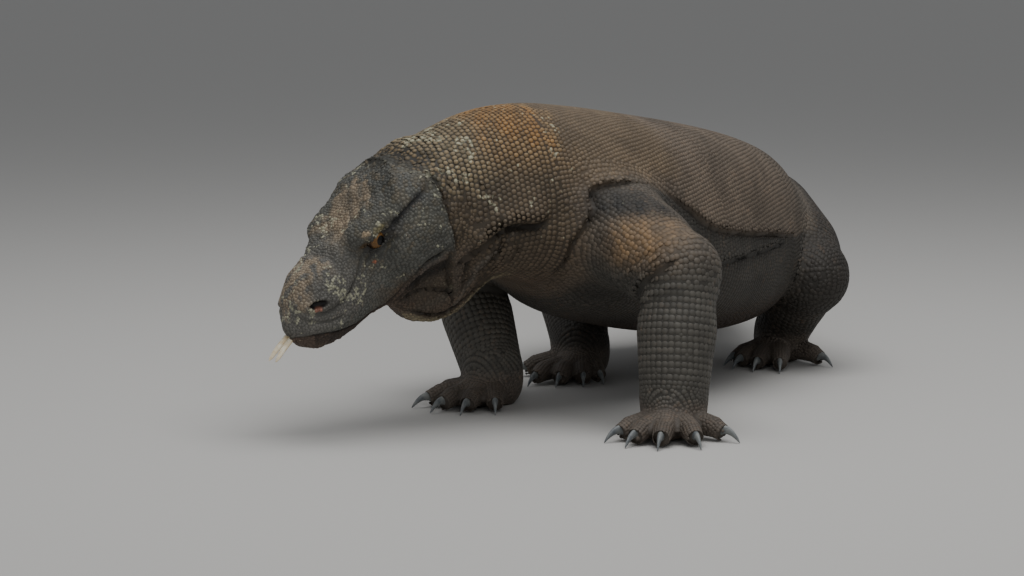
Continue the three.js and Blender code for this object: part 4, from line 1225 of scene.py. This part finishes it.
eye_finish = Finish(
    "wet eye", Roughness=0.3, Specular_IOR_Level=0.2, Coat_Weight=0.25, Coat_Roughness=0.03)
gaze, speckle = eye_finish.attribute("gaze"), eye_finish.noise(1500, 2)
iris = eye_finish.mix(speckle.ease(0.35, 0.7), (*linear(78, 54, 26), 1), (*linear(136, 98, 52), 1))
rim_dark = eye_finish.mix(gaze.ease(0.95, 1.35), iris, (*linear(44, 30, 20), 1))
# The black pupil is drawn wide, and part of it is painted shadow from the lids.
eye_finish.feed(eye_finish.shader, {
    "Base Color": eye_finish.mix(gaze.ease(0.5, 0.56), (0.002, 0.002, 0.002, 1), rim_dark)})
for side, name in ((1, "left"), (-1, "right")):
    centre = from_head(EYE_AT * [1, side, 1])
    pole = unit(np.array([-0.08, 0.97 * side, -0.18]) @ HEAD_AXES)
    level_way = unit(np.cross(pole, HEAD_AXES[2]))
    other = np.cross(pole, level_way)
    angle = np.linspace(0.02, np.pi - 0.02, 40)
    turn = np.linspace(0, 2 * np.pi, 56, endpoint=False)
    bulge = EYE_RADIUS + hump(angle, 0, 0.5)
    ring = np.cos(turn)[None, :, None] * level_way + np.sin(turn)[None, :, None] * other
    ball = centre + bulge[:, None, None] * (
        np.cos(angle)[:, None, None] * pole + np.sin(angle)[:, None, None] * ring)
    piece = mesh_object(f"eyeball_{name}", ball.reshape(-1, 3), *wrapped(*ball.shape[:2]))
    set_attribute(piece.data, "gaze", np.repeat(angle, len(turn)))
    piece.data.materials.append(eye_finish.material)
    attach(piece, "root")
    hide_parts(f"eye_{name}")

# ------------------------------------------------------------------ the tongue
# Two flat, pointed tines, moist and yellowish, parted inside the mouth.

TINE = np.array([[190, -5, 3, -62, 5.5], [222, -7, 4.5, -54, 5.0], [246, -9, 5.6, -48.5, 4.7],
                 [272, -12.5, 6.6, -54, 4.6], [290, -15, 7.6, -60.5, 3.2], [296, -16, 8, -63, 0.8]])


def tube_along(path, widths, heights, columns, flatwise):
    """A tube whose middle follows the path: each section is an ellipse square to it, as wide
    as given along the flatwise direction and as high as given across it."""
    way = unit(np.gradient(path, axis=0))
    up = unit(np.cross(way, flatwise))
    flat = np.cross(up, way)
    turn = np.linspace(0, 2 * np.pi, columns, endpoint=False)
    return (path[:, None] + (widths[:, None] * np.cos(turn))[..., None] * flat[:, None]
            + (heights[:, None] * np.sin(turn))[..., None] * up[:, None])


moist = Finish("tongue", Roughness=0.35, Specular_IOR_Level=0.6)
inner = moist.noise(120, 3)
moist.feed(moist.shader, {"Base Color": moist.mix(
    inner.ease(0.35, 0.7), (*linear(236, 216, 178), 1), (*linear(252, 244, 222), 1))})
reach = np.linspace(190, 296, 60)
cross = between(TINE, reach)
tines, corners, sizes = [], [], []
for n, side in enumerate((1, -1)):
    path = from_head(np.stack([reach, cross[:, 0] + side * cross[:, 1], cross[:, 2]], 1))
    tube = tube_along(path, cross[:, 3], cross[:, 3] * 0.8, 20, HEAD_AXES[1])
    loops, totals = wrapped(*tube.shape[:2])
    tines.append(tube.reshape(-1, 3))
    corners.append(loops + n * len(tines[0]))
    sizes.append(totals)
piece = mesh_object(
    "forked_tongue", np.concatenate(tines), np.concatenate(corners), np.concatenate(sizes))
piece.data.materials.append(moist.material)
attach(piece, "root")
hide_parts("tongue")

# ------------------------------------------------------------------ the claws
# One horn claw at the end of each toe: deep at the root, flattened side to side, hooked down
# to a blunt point, and worn pale along its back.

CLAW_LENGTH = 38
horn = Finish("claw horn", Specular_IOR_Level=0.5)
rootward, growth = horn.attribute("reach"), horn.noise(90, 3, 0.6)
worn_pale = growth.ease(0.3, 0.7) * 0.6 + 0.35 * rootward
horn.feed(horn.shader, {
    "Base Color": horn.mix(worn_pale, (*linear(76, 82, 88), 1), (*linear(140, 142, 138), 1)),
    "Roughness": 0.34 + 0.3 * growth,
    "Normal": horn.node("ShaderNodeBump", {}, {
        "Height": horn.noise(260, 2), "Strength": 0.3, "Distance": 0.0006})})
for limb in LIMBS:
    paw = limb.replace("arm", "hand").replace("leg", "foot")
    for n in range(5):
        turn, out_to = DIGITS[limb[:3]][0][n], DIGITS[limb[:3]][1][n]
        t = np.linspace(-0.08, 1, 28)
        path = np.array([ahead(limb, turn, out_to * 0.9 + share * CLAW_LENGTH, 0) for share in t])
        path[:, 2] = 15 + 6 * np.sin(0.8 * np.pi * t) - 17.5 * t**2
        deep = np.interp(t, [-0.08, 0, 0.3, 0.6, 0.85, 0.97, 1], [8, 7.9, 6.6, 4.7, 2.6, 1.2, 0.4])
        flatwise = np.cross(ahead(limb, turn, 1, 0) - ahead(limb, turn, 0, 0), [0, 0, 1.0])
        tube = tube_along(path, deep * 0.72, deep, 18, flatwise)
        tube[..., 2] = np.maximum(tube[..., 2], 0.2)
        piece = mesh_object(f"horn_{paw}_{n + 1}", tube.reshape(-1, 3), *wrapped(*tube.shape[:2]))
        set_attribute(piece.data, "reach", np.repeat(1 - np.clip(t, 0, 1), tube.shape[1]))
        piece.data.materials.append(horn.material)
        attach(piece, "root")
        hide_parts(f"claw_{paw}_{n + 1}")

# ------------------------------------------------------------------ floor, light, camera
# A plain pale floor and soft light from above; the eye height is that of a crouching person.

floor = bpy.data.objects.new("floor", bpy.data.meshes.new("floor"))
floor.data.from_pydata([(-60, -60, 0), (60, -60, 0), (60, 60, 0), (-60, 60, 0)], [], [(0, 1, 2, 3)])
bpy.context.scene.collection.objects.link(floor)
ground = Finish("pale floor", Base_Color=(0.5, 0.49, 0.47, 1), Roughness=0.9)
floor.data.materials.append(ground.material)

world = bpy.data.worlds.new("studio")
world.use_nodes = True
world.node_tree.nodes["Background"].inputs["Color"].default_value = (0.8, 0.82, 0.85, 1)
world.node_tree.nodes["Background"].inputs["Strength"].default_value = 0.35
bpy.context.scene.world = world
for name, place, size, power in (
        ("sky panel", (0.6, -0.8, 3.2), 3.0, 90), ("front panel", (2.6, -4.0, 2.0), 2.0, 30)):
    lamp = bpy.data.lights.new(name, "AREA")
    lamp.size, lamp.energy = size, power
    hung = bpy.data.objects.new(name, lamp)
    hung.location = place
    towards = Vector((0.1, -0.4, 0.2)) - hung.location
    hung.rotation_euler = towards.to_track_quat("-Z", "Y").to_euler()
    bpy.context.scene.collection.objects.link(hung)

# The camera stands 4.8 m off, ahead and to the left, and looks a little down.
lens = bpy.data.cameras.new("camera")
lens.lens, lens.sensor_width = 106.25, 36
camera = bpy.data.objects.new("camera", lens)
camera.location = (np.array([2213.1, -4253.3, 700]) + GROUND_SHIFT) * MM
camera.rotation_euler = (np.radians(90 - 6.57), 0, np.radians(30))
bpy.context.scene.collection.objects.link(camera)
bpy.context.scene.camera = camera
